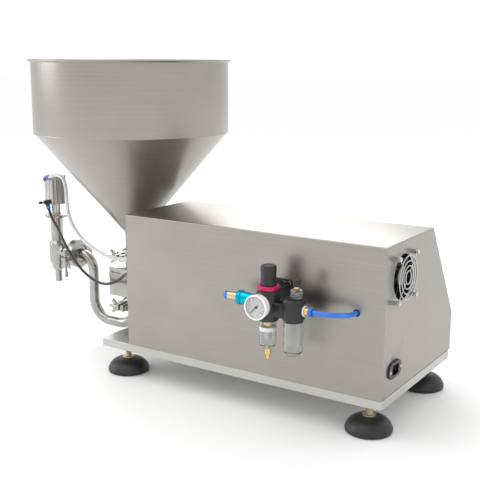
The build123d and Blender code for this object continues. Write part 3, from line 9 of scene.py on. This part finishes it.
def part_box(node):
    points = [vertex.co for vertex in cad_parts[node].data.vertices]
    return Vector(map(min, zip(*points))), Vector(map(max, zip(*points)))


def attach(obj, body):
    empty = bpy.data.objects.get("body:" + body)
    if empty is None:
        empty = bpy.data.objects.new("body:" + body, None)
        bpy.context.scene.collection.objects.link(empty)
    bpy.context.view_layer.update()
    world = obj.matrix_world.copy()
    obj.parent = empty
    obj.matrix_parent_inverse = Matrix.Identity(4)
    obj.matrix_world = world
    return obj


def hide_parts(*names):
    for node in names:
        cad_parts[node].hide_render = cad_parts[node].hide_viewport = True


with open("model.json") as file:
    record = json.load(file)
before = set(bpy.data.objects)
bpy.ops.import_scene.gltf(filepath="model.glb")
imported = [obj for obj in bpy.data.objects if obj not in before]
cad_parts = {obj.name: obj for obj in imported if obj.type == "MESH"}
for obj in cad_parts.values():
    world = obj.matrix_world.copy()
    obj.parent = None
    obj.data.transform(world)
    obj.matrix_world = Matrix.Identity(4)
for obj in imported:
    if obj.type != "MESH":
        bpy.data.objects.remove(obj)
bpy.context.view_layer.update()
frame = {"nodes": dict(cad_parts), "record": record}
record = frame["record"]
scene = bpy.context.scene
mm = 0.001
along, up, outward = (1, 0, 0), (0, 0, 1), (0, -1, 0)

body_of = {node: body for body, nodes in record["behaviour"]["bodies"].items() for node in nodes}
slot_of = {entry["node"]: entry["material_slot"] for entry in record["subparts"]}


def middle(node):
    """Middle of a CAD node's box."""
    low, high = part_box(node)
    return (low + high) / 2


def point(*values):
    """Place given in millimetres."""
    return Vector(values) * mm


# ---- Camera, light and floor ----


def set_camera():
    """Camera at the left rear, a little above the housing."""
    camera = bpy.data.objects.new("camera", bpy.data.cameras.new("camera"))
    scene.collection.objects.link(camera)
    camera.data.sensor_width = 36.0
    camera.data.lens = 64.32
    camera.data.clip_end = 100.0
    camera.location = (0.94695, -1.3277, 0.5998)
    camera.rotation_euler = (radians(78.2), radians(-0.11), radians(33.2))
    scene.camera = camera


def set_light():
    """Soft white room with three large panels."""
    world = bpy.data.worlds.new("studio")
    world.use_nodes = True
    background = world.node_tree.nodes["Background"]
    background.inputs["Color"].default_value = (1.0, 1.0, 1.0, 1.0)
    background.inputs["Strength"].default_value = 1.02
    scene.world = world
    scene.view_settings.view_transform = "Standard"
    panels = (
        ("high_panel", (-0.6, -1.0, 2.6), (0.0, 0.0, 0.3), 2.2, 16.0),
        ("left_panel", (-2.6, -1.2, 1.2), (-0.1, 0.0, 0.3), 1.4, 16.0),
        ("back_panel", (-2.2, 3.3, 2.6), (0.1, 0.0, 0.3), 2.6, 62.0),
    )
    for name, place, target, size, power in panels:
        light = bpy.data.lights.new(name, "AREA")
        light.shape = "SQUARE"
        light.size = size
        light.energy = power
        lamp = bpy.data.objects.new(name, light)
        lamp.location = place
        lamp.rotation_euler = (Vector(target) - Vector(place)).to_track_quat("-Z", "Y").to_euler()
        scene.collection.objects.link(lamp)


def make_floor():
    """Plain pale floor, wide enough to reach the horizon."""
    bm = bmesh.new()
    bmesh.ops.create_circle(bm, cap_ends=True, segments=96, radius=30.0)
    mesh = bpy.data.meshes.new("floor")
    bm.to_mesh(mesh)
    bm.free()
    floor = bpy.data.objects.new("floor", mesh)
    scene.collection.objects.link(floor)
    material = bpy.data.materials.new("floor")
    material.use_nodes = True
    shader = material.node_tree.nodes["Principled BSDF"]
    shader.inputs["Base Color"].default_value = (0.97, 0.97, 0.97, 1.0)
    shader.inputs["Roughness"].default_value = 0.6
    shader.inputs["Specular IOR Level"].default_value = 0.2
    mesh.materials.append(material)


# ---- Finishes ----


class Finish:
    """One procedural material, built on the piece's own Object coordinates."""

    def __init__(self, name):
        self.material = bpy.data.materials.new(name)
        self.material.use_nodes = True
        self.tree = self.material.node_tree
        self.shader = self.tree.nodes["Principled BSDF"]
        self.coordinates = self.tree.nodes.new("ShaderNodeTexCoord").outputs["Object"]

    def set(self, **values):
        """Constant values on the shader's own sockets."""
        for socket, value in values.items():
            self.shader.inputs[socket.replace("_", " ")].default_value = value

    def noise(self, scale, detail=4.0, rough=0.6):
        """Noise with its own scale along each axis, in waves per metre."""
        mapping = self.tree.nodes.new("ShaderNodeMapping")
        mapping.inputs["Scale"].default_value = scale
        texture = self.tree.nodes.new("ShaderNodeTexNoise")
        texture.inputs["Scale"].default_value = 1.0
        texture.inputs["Detail"].default_value = detail
        texture.inputs["Roughness"].default_value = rough
        self.tree.links.new(self.coordinates, mapping.inputs["Vector"])
        self.tree.links.new(mapping.outputs["Vector"], texture.inputs["Vector"])
        return texture.outputs["Fac"]

    def blend(self, first, second, share):
        """Two patterns mixed, share of the second."""
        mix = self.tree.nodes.new("ShaderNodeMix")
        mix.inputs[0].default_value = share
        self.tree.links.new(first, mix.inputs[2])
        self.tree.links.new(second, mix.inputs[3])
        return mix.outputs[0]

    def colour(self, pattern, dark, light, low=0.35, high=0.65):
        """Base colour running from dark to light with the pattern."""
        ramp = self.tree.nodes.new("ShaderNodeValToRGB")
        ramp.color_ramp.elements[0].position = low
        ramp.color_ramp.elements[0].color = (*dark, 1.0)
        ramp.color_ramp.elements[1].position = high
        ramp.color_ramp.elements[1].color = (*light, 1.0)
        self.tree.links.new(pattern, ramp.inputs["Fac"])
        self.tree.links.new(ramp.outputs["Color"], self.shader.inputs["Base Color"])

    def roughness(self, pattern, low, high):
        """Roughness between low and high with the pattern."""
        spread = self.tree.nodes.new("ShaderNodeMapRange")
        spread.inputs["From Min"].default_value = 0.3
        spread.inputs["From Max"].default_value = 0.7
        spread.inputs["To Min"].default_value = low
        spread.inputs["To Max"].default_value = high
        self.tree.links.new(pattern, spread.inputs["Value"])
        self.tree.links.new(spread.outputs["Result"], self.shader.inputs["Roughness"])

    def bump(self, pattern, strength, distance):
        """Fine relief with the pattern; distance in metres."""
        relief = self.tree.nodes.new("ShaderNodeBump")
        relief.inputs["Strength"].default_value = strength
        relief.inputs["Distance"].default_value = distance
        self.tree.links.new(pattern, relief.inputs["Height"])
        self.tree.links.new(relief.outputs["Normal"], self.shader.inputs["Normal"])


def steel(name, dark, light, rough, grain, cloud=7.0, cut=0.5, relief=0.15):
    """Stainless steel with a brushed or turned grain and faint handling clouds."""
    finish = Finish(name)
    finish.set(Metallic=1.0)
    lines = finish.noise(grain, 3.0, 0.7)
    clouds = finish.noise((cloud, cloud, cloud), 3.0, 0.5)
    finish.colour(finish.blend(lines, clouds, cut), dark, light)
    finish.roughness(finish.blend(lines, clouds, 0.4), rough - 0.05, rough + 0.08)
    finish.bump(lines, relief, 0.00015)
    return finish.material


def plastic(name, dark, light, rough, grain=900.0, relief=0.1, **values):
    """Moulded plastic with a fine grain."""
    finish = Finish(name)
    finish.set(**values)
    speckle = finish.noise((grain, grain, grain), 2.0, 0.5)
    clouds = finish.noise((25.0, 25.0, 25.0), 3.0, 0.6)
    finish.colour(clouds, dark, light)
    finish.roughness(clouds, rough - 0.05, rough + 0.06)
    finish.bump(speckle, relief, 0.0001)
    return finish.material


def clear(name, colour, rough, ior, **values):
    """Clear moulding with faint flow marks."""
    finish = Finish(name)
    finish.set(Transmission_Weight=1.0, IOR=ior, **values)
    flow = finish.noise((40.0, 40.0, 90.0), 2.0, 0.5)
    finish.colour(flow, [0.94 * part for part in colour], colour)
    finish.roughness(flow, rough, rough + 0.06)
    return finish.material


def make_finishes():
    """Every finish, by the record's slot name or by its own."""
    warm, warm_light = (0.325, 0.306, 0.280), (0.385, 0.364, 0.335)
    bright, bright_light = (0.34, 0.325, 0.30), (0.44, 0.425, 0.40)
    made = {
        "housing_steel": steel("housing_steel", warm, warm_light, 0.33, (6.0, 700.0, 700.0), relief=0.08),
        "panel_steel": steel("panel_steel", warm, warm_light, 0.33, (700.0, 6.0, 700.0), relief=0.08),
        "plate_steel": steel(
            "plate_steel", (0.48, 0.48, 0.455), (0.56, 0.56, 0.535), 0.36, (6.0, 700.0, 700.0),
        ),
        "hopper_steel": steel("hopper_steel", warm, warm_light, 0.3, (4.0, 4.0, 800.0), relief=0.1),
        "cast_steel": steel(
            "cast_steel", bright, bright_light, 0.26, (260.0, 260.0, 260.0), 40.0, relief=0.3,
        ),
        "block_steel": steel("block_steel", bright, bright_light, 0.25, (500.0, 500.0, 40.0), 20.0),
        "turned_steel": steel("turned_steel", bright, bright_light, 0.18, (20.0, 20.0, 1200.0), 30.0),
        "pipe_steel": steel(
            "pipe_steel", bright, bright_light, 0.16, (60.0, 60.0, 60.0), 20.0, relief=0.05,
        ),
        "chrome": steel("chrome", (0.5, 0.5, 0.5), (0.6, 0.6, 0.6), 0.09, (90.0, 90.0, 90.0), relief=0.03),
        "anodised": steel(
            "anodised", (0.42, 0.41, 0.39), (0.52, 0.51, 0.49), 0.34, (300.0, 300.0, 30.0), 30.0,
        ),
        "brass": steel("brass", (0.66, 0.46, 0.17), (0.78, 0.58, 0.28), 0.22, (700.0, 50.0, 50.0), 60.0),
        "zinc": steel("zinc", (0.55, 0.48, 0.33), (0.68, 0.62, 0.46), 0.33, (80.0, 80.0, 80.0), 60.0),
        "teal_anodised": steel(
            "teal_anodised", (0.0, 0.36, 0.5), (0.01, 0.5, 0.64), 0.24, (300.0, 30.0, 30.0),
        ),
        "foot_rubber": plastic(
            "foot_rubber", (0.012, 0.012, 0.012), (0.022, 0.022, 0.022), 0.42, 350.0, 0.2,
        ),
        "seal_rubber": plastic("seal_rubber", (0.6, 0.59, 0.55), (0.7, 0.69, 0.65), 0.5, 600.0),
        "black_plastic": plastic("black_plastic", (0.010, 0.010, 0.011), (0.02, 0.02, 0.021), 0.32),
        "black_paint": plastic("black_paint", (0.012, 0.012, 0.012), (0.02, 0.02, 0.02), 0.4),
        "grey_plastic": plastic("grey_plastic", (0.16, 0.16, 0.17), (0.2, 0.2, 0.21), 0.45),
        "red_plastic": plastic("red_plastic", (0.5, 0.01, 0.01), (0.6, 0.02, 0.02), 0.22, Coat_Weight=0.3),
        "green_plastic": plastic(
            "green_plastic", (0.01, 0.3, 0.07), (0.02, 0.38, 0.1), 0.22, Coat_Weight=0.3,
        ),
        "magenta_plastic": plastic("magenta_plastic", (0.45, 0.004, 0.07), (0.6, 0.01, 0.12), 0.28),
        "gauge_white": plastic("gauge_white", (0.88, 0.88, 0.88), (0.92, 0.92, 0.92), 0.4),
        "needle_paint": plastic("needle_paint", (0.01, 0.01, 0.01), (0.016, 0.016, 0.016), 0.4),
        "white_plastic": plastic("white_plastic", (0.72, 0.72, 0.7), (0.8, 0.8, 0.78), 0.35),
        "label_grey": plastic("label_grey", (0.3, 0.3, 0.3), (0.36, 0.36, 0.36), 0.4),
        "collar_blue": plastic("collar_blue", (0.02, 0.16, 0.62), (0.03, 0.22, 0.75), 0.3),
        "blue_tube": plastic(
            "blue_tube", (0.01, 0.14, 0.62), (0.02, 0.2, 0.74), 0.24, 500.0, 0.03, Coat_Weight=0.3,
        ),
        "black_tube": plastic("black_tube", (0.012, 0.012, 0.012), (0.02, 0.02, 0.02), 0.25, 500.0, 0.03),
        "clear_tube": plastic(
            "clear_tube", (0.72, 0.73, 0.72), (0.82, 0.83, 0.82), 0.22, 500.0, 0.03,
            Transmission_Weight=0.35, IOR=1.45,
        ),
        "screen_glass": plastic(
            "screen_glass", (0.01, 0.012, 0.016), (0.015, 0.018, 0.022), 0.08, relief=0.0,
        ),
        "clear_plastic": clear("clear_plastic", (0.93, 0.95, 0.95), 0.03, 1.5),
        "gauge_glass": clear("gauge_glass", (1.0, 1.0, 1.0), 0.0, 1.4),
        "filter_felt": plastic("filter_felt", (0.72, 0.71, 0.66), (0.85, 0.84, 0.8), 0.8, 1500.0, 0.6),
    }
    return made


# ---- Making pieces ----


def add_piece(name, bm, finish, body, smooth=35.0):
    """Scene object from a bmesh, shaded smooth up to an angle, riding on a body."""
    mesh = bpy.data.meshes.new(name)
    bm.to_mesh(mesh)
    bm.free()
    mesh.polygons.foreach_set("use_smooth", [True] * len(mesh.polygons))
    mesh.set_sharp_from_angle(angle=radians(smooth))
    mesh.materials.append(finishes[finish])
    piece = bpy.data.objects.new(name, mesh)
    scene.collection.objects.link(piece)
    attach(piece, body)
    return piece


def soften(piece, width, segments=2, angle=35.0):
    """Rounds off a piece's sharp edges."""
    bevel = piece.modifiers.new("soften", "BEVEL")
    bevel.width = width
    bevel.segments = segments
    bevel.limit_method = "ANGLE"
    bevel.angle_limit = radians(angle)
    bevel.miter_outer = "MITER_ARC"
    return piece


def aim(bm, origin, axis, turn=0.0):
    """Turns a shape made about local Z to an axis, and moves it to its origin."""
    way = Vector(axis).normalized().to_track_quat("Z", "Y").to_matrix().to_4x4()
    place = Matrix.Translation(origin) @ way @ Matrix.Rotation(turn, 4, "Z")
    bmesh.ops.transform(bm, matrix=place, verts=bm.verts)
    return bm


def lathe(outline, steps=64):
    """Closed outline of radius, height pairs in millimetres, turned about local Z."""
    bm = bmesh.new()
    ring = [bm.verts.new(point(r, 0.0, h)) for r, h in outline]
    pairs = [(a, b) for a, b in zip(ring, ring[1:] + ring[:1]) if a.co.x > 0 or b.co.x > 0]
    edges = [bm.edges.new(pair) for pair in pairs]
    bmesh.ops.spin(
        bm, geom=ring + edges, cent=(0, 0, 0), axis=(0, 0, 1), dvec=(0, 0, 0), angle=2 * pi,
        steps=steps, use_merge=True, use_normal_flip=False, use_duplicate=False,
    )
    bmesh.ops.remove_doubles(bm, verts=bm.verts, dist=1e-6)
    bmesh.ops.recalc_face_normals(bm, faces=bm.faces)
    return bm


def prism(sides, radius, height, turn=0.0):
    """Upright prism, radius over its corners, in millimetres."""
    bm = bmesh.new()
    bmesh.ops.create_cone(
        bm, cap_ends=True, segments=sides, radius1=radius * mm, radius2=radius * mm, depth=height * mm,
    )
    place = Matrix.Rotation(turn, 4, "Z") @ Matrix.Translation((0, 0, height * mm / 2))
    bmesh.ops.transform(bm, matrix=place, verts=bm.verts)
    return bm


def slab(length, width, height):
    """Block standing on local Z = 0, in millimetres."""
    bm = bmesh.new()
    size = Matrix.Diagonal((length * mm, width * mm, height * mm, 1.0))
    bmesh.ops.create_cube(bm, size=1.0, matrix=Matrix.Translation((0, 0, height * mm / 2)) @ size)
    return bm


def merge_in(bm, other, move=None):
    """Adds another bmesh's shape to this one and frees it."""
    if move is not None:
        bmesh.ops.transform(other, matrix=move, verts=other.verts)
    spare = bpy.data.meshes.new("spare")
    other.to_mesh(spare)
    other.free()
    bm.from_mesh(spare)
    bpy.data.meshes.remove(spare)
    return bm


def ring_wire(radius, wire, steps=72, around=10):
    """Wire ring about local Z, in millimetres."""
    angles = [2 * pi * n / around for n in range(around)]
    return lathe([(radius + wire * cos(a), wire * sin(a)) for a in angles], steps)


def refined(node, finish=None, edge=0.25, merge=1e-5):
    """Copy of a CAD node with its points merged, its flat faces whole and its edges rounded off."""
    bm = bmesh.new()
    bm.from_mesh(frame["nodes"][node].data)
    bmesh.ops.remove_doubles(bm, verts=bm.verts, dist=merge)
    bmesh.ops.dissolve_limit(bm, angle_limit=radians(0.6), verts=bm.verts, edges=bm.edges)
    slot = slot_of[node]
    piece = add_piece(node + "_body", bm, finish or slot, body_of[node])
    if edge:
        soften(piece, edge * mm)
    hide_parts(node)
    return piece


# ---- Hopper ----


def make_hopper():
    """Spun hopper with a rolled rim, a weld at the cone and a ferrule at the foot."""
    low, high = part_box("hopper")
    centre = middle("hopper")
    rim_r = (high.x - low.x) / 2 / mm
    wall_r, thick, rim_h = rim_r - 5.5, 1.5, 5.0
    rim_z, foot_z = high.z / mm, low.z / mm
    seam_z, neck_z, neck_r, edge_r = rim_z - 143.0, 250.4, 19.0, 32.0
    roll = [
        (wall_r + 3.0 + 2.5 * cos(a), rim_z - rim_h / 2 + rim_h / 2 * sin(a))
        for a in [radians(-90 + 22.5 * n) for n in range(9)]
    ]
    outline = [
        (neck_r - thick, foot_z), (edge_r, foot_z), (edge_r, foot_z + 2.8), (25.0, foot_z + 5.5),
        (neck_r + 0.6, foot_z + 6.5), (neck_r, foot_z + 8.5), (neck_r, neck_z - 2.5),
        (neck_r + 1.2, neck_z + 1.6), (wall_r - 2.6, seam_z - 3.2), (wall_r - 0.5, seam_z - 0.9),
        (wall_r, seam_z + 1.5), (wall_r, rim_z - rim_h - 0.8), (wall_r + 0.8, rim_z - rim_h),
        *roll,
        (wall_r + 1.0, rim_z), (wall_r - thick, rim_z - 1.0), (wall_r - thick, seam_z),
        (neck_r - thick, neck_z),
    ]
    shell = aim(lathe(outline, 180), (centre.x, centre.y, 0), up)
    body = body_of["hopper"]
    hopper = add_piece("hopper_shell", shell, "hopper_steel", body, 25.0)
    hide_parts("hopper")
    welds = (("seam_weld", wall_r - 0.9, seam_z - 0.6, 1.0), ("neck_weld", neck_r, neck_z, 0.9))
    for name, radius, height, bead in welds:
        weld = aim(ring_wire(radius, bead, 180, 8), (centre.x, centre.y, height * mm), up)
        add_piece(name, weld, "hopper_steel", body)


# ---- Feet ----


def make_foot(node):
    """Rubber dome, zinc hex nut and washer, and threaded stud."""
    centre = middle(node)
    place = (centre.x, centre.y, 0)
    body = body_of[node]
    shoulder = [(38.6 - 26 * (n / 12) ** 1.55, 9.5 + 17.0 * sin(pi / 2 * n / 12)) for n in range(1, 13)]
    dome = [
        (0.0, 0.0), (37.0, 0.0), (39.2, 1.2), (40.0, 3.2), (40.0, 7.8), (39.4, 9.2), *shoulder,
        (12.0, 28.0), (6.3, 28.0), (6.3, 26.0), (0.0, 26.0),
    ]
    dome = aim(lathe(dome, 96), place, up)
    cup = add_piece(node + "_dome", dome, "foot_rubber", body, 50.0)
    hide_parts(node)
    nut_low, washer_low = 44.4, 28.1
    nut = aim(prism(6, 10.9, 10.0, radians(12)), (centre.x, centre.y, nut_low * mm), up)
    soften(add_piece(node + "_nut", nut, "zinc", body), 0.7 * mm, 3, 25.0)
    washer = lathe([(6.2, 0.0), (11.5, 0.0), (11.5, 1.6), (6.2, 1.6)], 48)
    washer = aim(washer, (centre.x, centre.y, washer_low * mm), up)
    add_piece(node + "_washer", washer, "zinc", body)
    pitch, thread = 1.75, [(0.0, 26.5)]
    for turn in range(23):
        thread += [(5.2, 27.0 + pitch * turn), (6.0, 27.0 + pitch * (turn + 0.5))]
    thread += [(5.2, 68.2), (4.6, 69.0), (0.0, 69.0)]
    add_piece(node + "_stud", aim(lathe(thread, 32), place, up), "zinc", body, 60.0)


# ---- Hoses ----

blue_route = [
    (332.75, -180.1, 212.5), (353.2, -180.1, 212.5), (373.8, -169.1, 211.3), (387.75, -149.1, 209.5),
    (387.75, -127.1, 209.5),
]
black_route = [
    (-413.29, -10.43, 282.64), (-403.73, -13.37, 265.32), (-379.3, -18.1, 242.9), (-358.3, -27.1, 224.7),
    (-337.7, -34.1, 206.5), (-316.6, -39.1, 188.3), (-295.8, -41.1, 171.3), (-272.2, -42.1, 157.2),
    (-247.1, -43.6, 149.1), (-223.2, -45.6, 147.8), (-198.6, -49.1, 155.1), (-174.9, -53.6, 167.5),
    (-157.8, -60.5, 179.5), (-138.8, -70.6, 188.5), (-119.2, -77.1, 192.0), (-98.25, -77.1, 192.0),
]
clear_route = [
    (-404.58, -13.10, 353.56), (-382.76, -19.82, 360.98), (-359.5, -24.0, 361.5), (-343.5, -29.0, 350.5),
    (-335.5, -33.5, 330.0), (-334.0, -35.0, 306.0), (-329.5, -35.8, 282.0), (-319.0, -36.2, 260.5),
    (-302.0, -37.0, 242.5), (-279.5, -39.2, 228.5), (-252.5, -43.0, 218.0), (-224.0, -47.8, 211.5),
    (-195.0, -53.4, 208.6), (-168.0, -60.8, 210.6), (-144.0, -69.0, 216.5), (-121.5, -75.1, 221.0),
    (-98.25, -75.1, 221.0),
]


def make_hose(node, route, diameter, finish):
    """Hose along its own smooth curve through the air."""
    curve = bpy.data.curves.new(node + "_line", "CURVE")
    curve.dimensions = "3D"
    spline = curve.splines.new("NURBS")
    spline.points.add(len(route) - 1)
    for knot, place in zip(spline.points, route):
        knot.co = (*point(*place), 1.0)
    spline.order_u = 3
    spline.use_endpoint_u = True
    spline.resolution_u = 12
    curve.bevel_depth = diameter / 2 * mm
    curve.bevel_resolution = 5
    curve.use_fill_caps = True
    curve.materials.append(finishes[finish])
    piece = bpy.data.objects.new(node + "_line", curve)
    scene.collection.objects.link(piece)
    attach(piece, body_of[node])
    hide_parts(node)


# ---- Fittings and their collars ----


def turned(name, outline, place, way, finish, node, steps=64):
    """Turned piece, its outline in millimetres along a direction, riding with a CAD node."""
    return add_piece(name, aim(lathe(outline, steps), place, way), finish, body_of[node])


def sleeve(inner, outer, length, edge=0.4):
    """Outline of a short tube with its outer edges rounded off."""
    return [
        (inner, 0.0), (outer - edge, 0.0), (outer, edge), (outer, length - edge), (outer - edge, length),
        (inner, length),
    ]


def make_collars():
    """Blue release collars of the push-in fittings, and the small valve stem on the lower one."""
    lower_way, upper_way = Vector((0.478, -0.147, -0.866)), Vector((0.909, -0.280, 0.309))
    lower_end, upper_end = point(*black_route[0]), point(*clear_route[0])
    collars = (
        ("inlet_collar", "unit_fittings", point(168.5, -180.1, 217.0), along, 4.3, 7.0, 6.3),
        ("outlet_collar", "unit_fittings", point(327.0, -180.1, 212.5), along, 4.1, 7.7, 6.0),
        ("lower_collar", "hose_fittings", lower_end - lower_way * 5.2 * mm, lower_way, 3.1, 4.8, 5.4),
        ("upper_collar", "hose_fittings", upper_end - upper_way * 5.2 * mm, upper_way, 4.1, 5.7, 5.4),
        ("black_port_collar", "hose_fittings", point(-98.5, -77.1, 192.0), along, 3.1, 7.7, 4.5),
        ("clear_port_collar", "hose_fittings", point(-98.5, -75.1, 221.0), along, 4.1, 7.7, 4.5),
    )
    for name, node, place, way, inner, outer, length in collars:
        turned(name, sleeve(inner, outer, length), place, way, "collar_blue", node)
    stem_way = Vector((-0.294, -0.956, 0.0))
    stem_from = point(-420.94, -8.08, 296.5) + stem_way * 6.2 * mm
    stem = [(0.0, 0.0), (2.3, 0.0), (2.3, 5.6), (0.0, 5.6)]
    turned("valve_stem", stem, stem_from, stem_way, "brass", "hose_fittings")


def make_clamp_tail():
    """Tapered tail of the nozzle clamp's bolt, wider at its lower end."""
    tail = [(0.0, 0.0), (3.9, 0.0), (4.2, 0.8), (2.9, 17.0), (0.0, 17.0)]
    turned("clamp_tail", tail, point(-359.25, -19.3, 139.0), up, "turned_steel", "nozzle_clamp", 32)


# ---- Air service unit ----

regulator_x, unit_y, dial_z = 251.75, -180.1, 217.0
dial_y, ink_t = -216.6, 0.12


def on_dial(radius, angle):
    """Place on the dial's face, from its middle."""
    return point(regulator_x + radius * cos(angle), dial_y - ink_t, dial_z + radius * sin(angle))


def make_dial():
    """Printed dial with ticks and plain figures, behind a glass."""
    body, slot = body_of["pressure_gauge"], slot_of["pressure_gauge"]
    ticks, spread, start = 50, 270.0, 225.0
    tick_end_r, figure_r, figure_h = 16.6, 11.3, 3.6
    bm = bmesh.new()
    for n in range(ticks + 1):
        angle = radians(start - spread * n / ticks)
        length, width = (3.0, 0.55) if n % 5 == 0 else (1.6, 0.22)
        place = Matrix.Translation(on_dial(tick_end_r - length / 2, angle))
        merge_in(bm, slab(length, 0.1, width), place @ Matrix.Rotation(-angle, 4, "Y"))
    add_piece("dial_ticks", bm, "needle_paint", body)
    for n in range(0, 11, 2):
        figure = bpy.data.curves.new("figure", "FONT")
        figure.body, figure.size = str(n), figure_h * mm
        figure.align_x, figure.align_y = "CENTER", "CENTER"
        text = bpy.data.objects.new("figure", figure)
        scene.collection.objects.link(text)
        bpy.context.view_layer.update()
        flat = bpy.data.meshes.new_from_object(text)
        bm = bmesh.new()
        bm.from_mesh(flat)
        bpy.data.objects.remove(text)
        bpy.data.meshes.remove(flat)
        place = Matrix.Translation(on_dial(figure_r, radians(start - spread * n / 10)))
        bmesh.ops.transform(bm, matrix=place @ Matrix.Rotation(pi / 2, 4, "X"), verts=bm.verts)
        add_piece(f"dial_figure_{n}", bm, "needle_paint", body)
    glass = [(0.0, 0.0), (18.1, 0.0), (18.1, 0.9), (0.0, 0.9)]
    bezel = [(18.2, 0.0), (20.7, 0.0), (20.7, 3.2), (19.9, 4.1), (18.9, 4.1), (18.2, 3.4)]
    cap = [(0.0, 0.0), (1.9, 0.0), (1.9, 0.5), (1.3, 0.8), (0.0, 0.8)]
    for name, outline, y, finish, node, steps in (
        ("gauge_glass", glass, -218.9, "gauge_glass", "pressure_gauge", 96),
        ("gauge_bezel", bezel, -216.9, "chrome", "pressure_gauge", 96),
        ("needle_cap", cap, -217.9, "needle_paint", "gauge_needle", 64),
    ):
        turned(name, outline, point(regulator_x, y, dial_z), outward, finish, node, steps)


def make_lock_ring():
    """Grip ribs round the coloured lock ring."""
    low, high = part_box("lock_ring")
    bm = bmesh.new()
    ribs, rib_h = 28, (high.z - low.z) / mm - 1.6
    ring_r = (high.x - low.x) / 2 / mm
    for n in range(ribs):
        turn = Matrix.Rotation(2 * pi * n / ribs, 4, "Z")
        merge_in(bm, slab(0.9, 1.9, rib_h), turn @ Matrix.Translation(point(ring_r, 0.0, 0.0)))
    place = Vector((middle("lock_ring").x, middle("lock_ring").y, low.z + 0.8 * mm))
    bmesh.ops.transform(bm, matrix=Matrix.Translation(place), verts=bm.verts)
    add_piece("lock_ring_ribs", bm, "magenta_plastic", body_of["lock_ring"])


def make_unit_details():
    """Filter element, bowl ring, brass neck, dome ribs, washers, core tube and bracket screws."""
    x, y = regulator_x, unit_y
    dome_x, outlet_z = 303.75, 212.5
    element = [(0.0, 0.0), (6.2, 0.0), (6.2, 16.0), (0.0, 16.0)]
    turned("filter_neck", sleeve(6.0, 7.45, 10.5), point(x, y, 177.3), up, "brass", "regulator_body")
    turned("bowl_ring", sleeve(13.7, 14.4, 7.2), point(x, y, 169.8), up, "white_plastic", "filter_bowl", 96)
    turned("filter_element", element, point(x, y, 156.0), up, "filter_felt", "filter_bowl")
    turned("oil_collar", sleeve(3.4, 4.8, 3.4), point(dome_x, y, 247.5), up, "brass", "lubricator_knob")
    washer_at, core_at = point(318.2, y, outlet_z), point(186.4, y, dial_z)
    turned("outlet_washer", sleeve(7.0, 9.0, 2.2), washer_at, along, "white_plastic", "unit_fittings")
    turned("core_tube", sleeve(7.2, 7.58, 7.6, 0.1), core_at, along, "chrome", "unit_fittings", 96)
    for n, height in enumerate((233.0, 236.5, 240.0)):
        rib = aim(ring_wire(10.0, 0.45), point(dome_x, y, height), up)
        add_piece(f"dome_rib_{n}", rib, "clear_plastic", body_of["sight_dome"])
    head = [
        (1.5, 0.0), (3.3, 0.0), (3.3, 1.2), (2.7, 1.9), (1.5, 1.9), (1.5, 0.9), (0.0, 0.9), (0.0, 0.0),
    ]
    for n, across in enumerate((256.45, 266.55)):
        place = point(across, -137.6, 241.4)
        turned(f"bracket_screw_{n}", head, place, outward, "chrome", "air_bracket")


# ---- Rear end ----


def make_rear_details():
    """Label on the fan's hub and the two screws of the mains inlet."""
    label = [(0.0, 0.0), (13.5, 0.0), (13.5, 0.3), (0.0, 0.3)]
    turned("hub_label", label, point(432.2, -66.3, 261.2), along, "label_grey", "fan_rotor")
    head = [(0.0, 0.0), (2.9, 0.0), (2.9, 0.4), (1.8, 1.2), (0.0, 1.2)]
    inlet_y, screw_reach = -89.8, 20.5
    for n, side in enumerate((-1, 1)):
        place = point(438.8, inlet_y + side * screw_reach, 112.0)
        turned(f"inlet_screw_{n}", head, place, along, "chrome", "power_inlet")


# ---- Everything together ----

set_camera()
set_light()
make_floor()
finishes = make_finishes()

make_hopper()
for number in range(1, 5):
    make_foot(f"foot_{number}")
hoses = (
    ("blue_hose", blue_route, 8.0, 88.9, "blue_tube"),
    ("black_hose", black_route, 6.0, 383.2, "black_tube"),
    ("clear_hose", clear_route, 8.0, 399.8, "clear_tube"),
)
for node, route, diameter, length, finish in hoses:
    make_hose(node, route, diameter, finish)

make_collars()
make_clamp_tail()
make_dial()
make_lock_ring()
make_unit_details()
make_rear_details()

plain_nodes = [
    "base_plate", "cover_shell", "joint_gaskets", "pipe_clamps", "nozzle_clamp", "upper_wing_nut",
    "lower_wing_nut", "nozzle_wing_nut", "valve_block", "valve_rotor", "valve_actuator",
    "discharge_pipe", "nozzle_body", "nozzle_tip", "cylinder_mount", "nozzle_cylinder",
    "nozzle_stem", "pump_cylinder", "piston", "cylinder_bracket", "carriage", "linear_rails",
    "ball_screw", "screw_supports", "servo_motor", "servo_drive", "air_valves", "fan_frame",
    "fan_rotor", "fan_guard", "fan_screws", "power_inlet", "operator_panel", "stop_button",
    "start_button", "regulator_body", "lock_ring", "air_bracket", "regulator_knob",
    "pressure_gauge", "gauge_needle", "filter_bowl", "drain_valve", "lubricator_body",
    "lubricator_bowl", "sight_dome", "lubricator_knob", "valve_sleeve", "unit_fittings",
    "hose_fittings",
]
for node in plain_nodes:
    refined(node)
refined("front_panel", "panel_steel")
refined("rear_panel", "panel_steel")
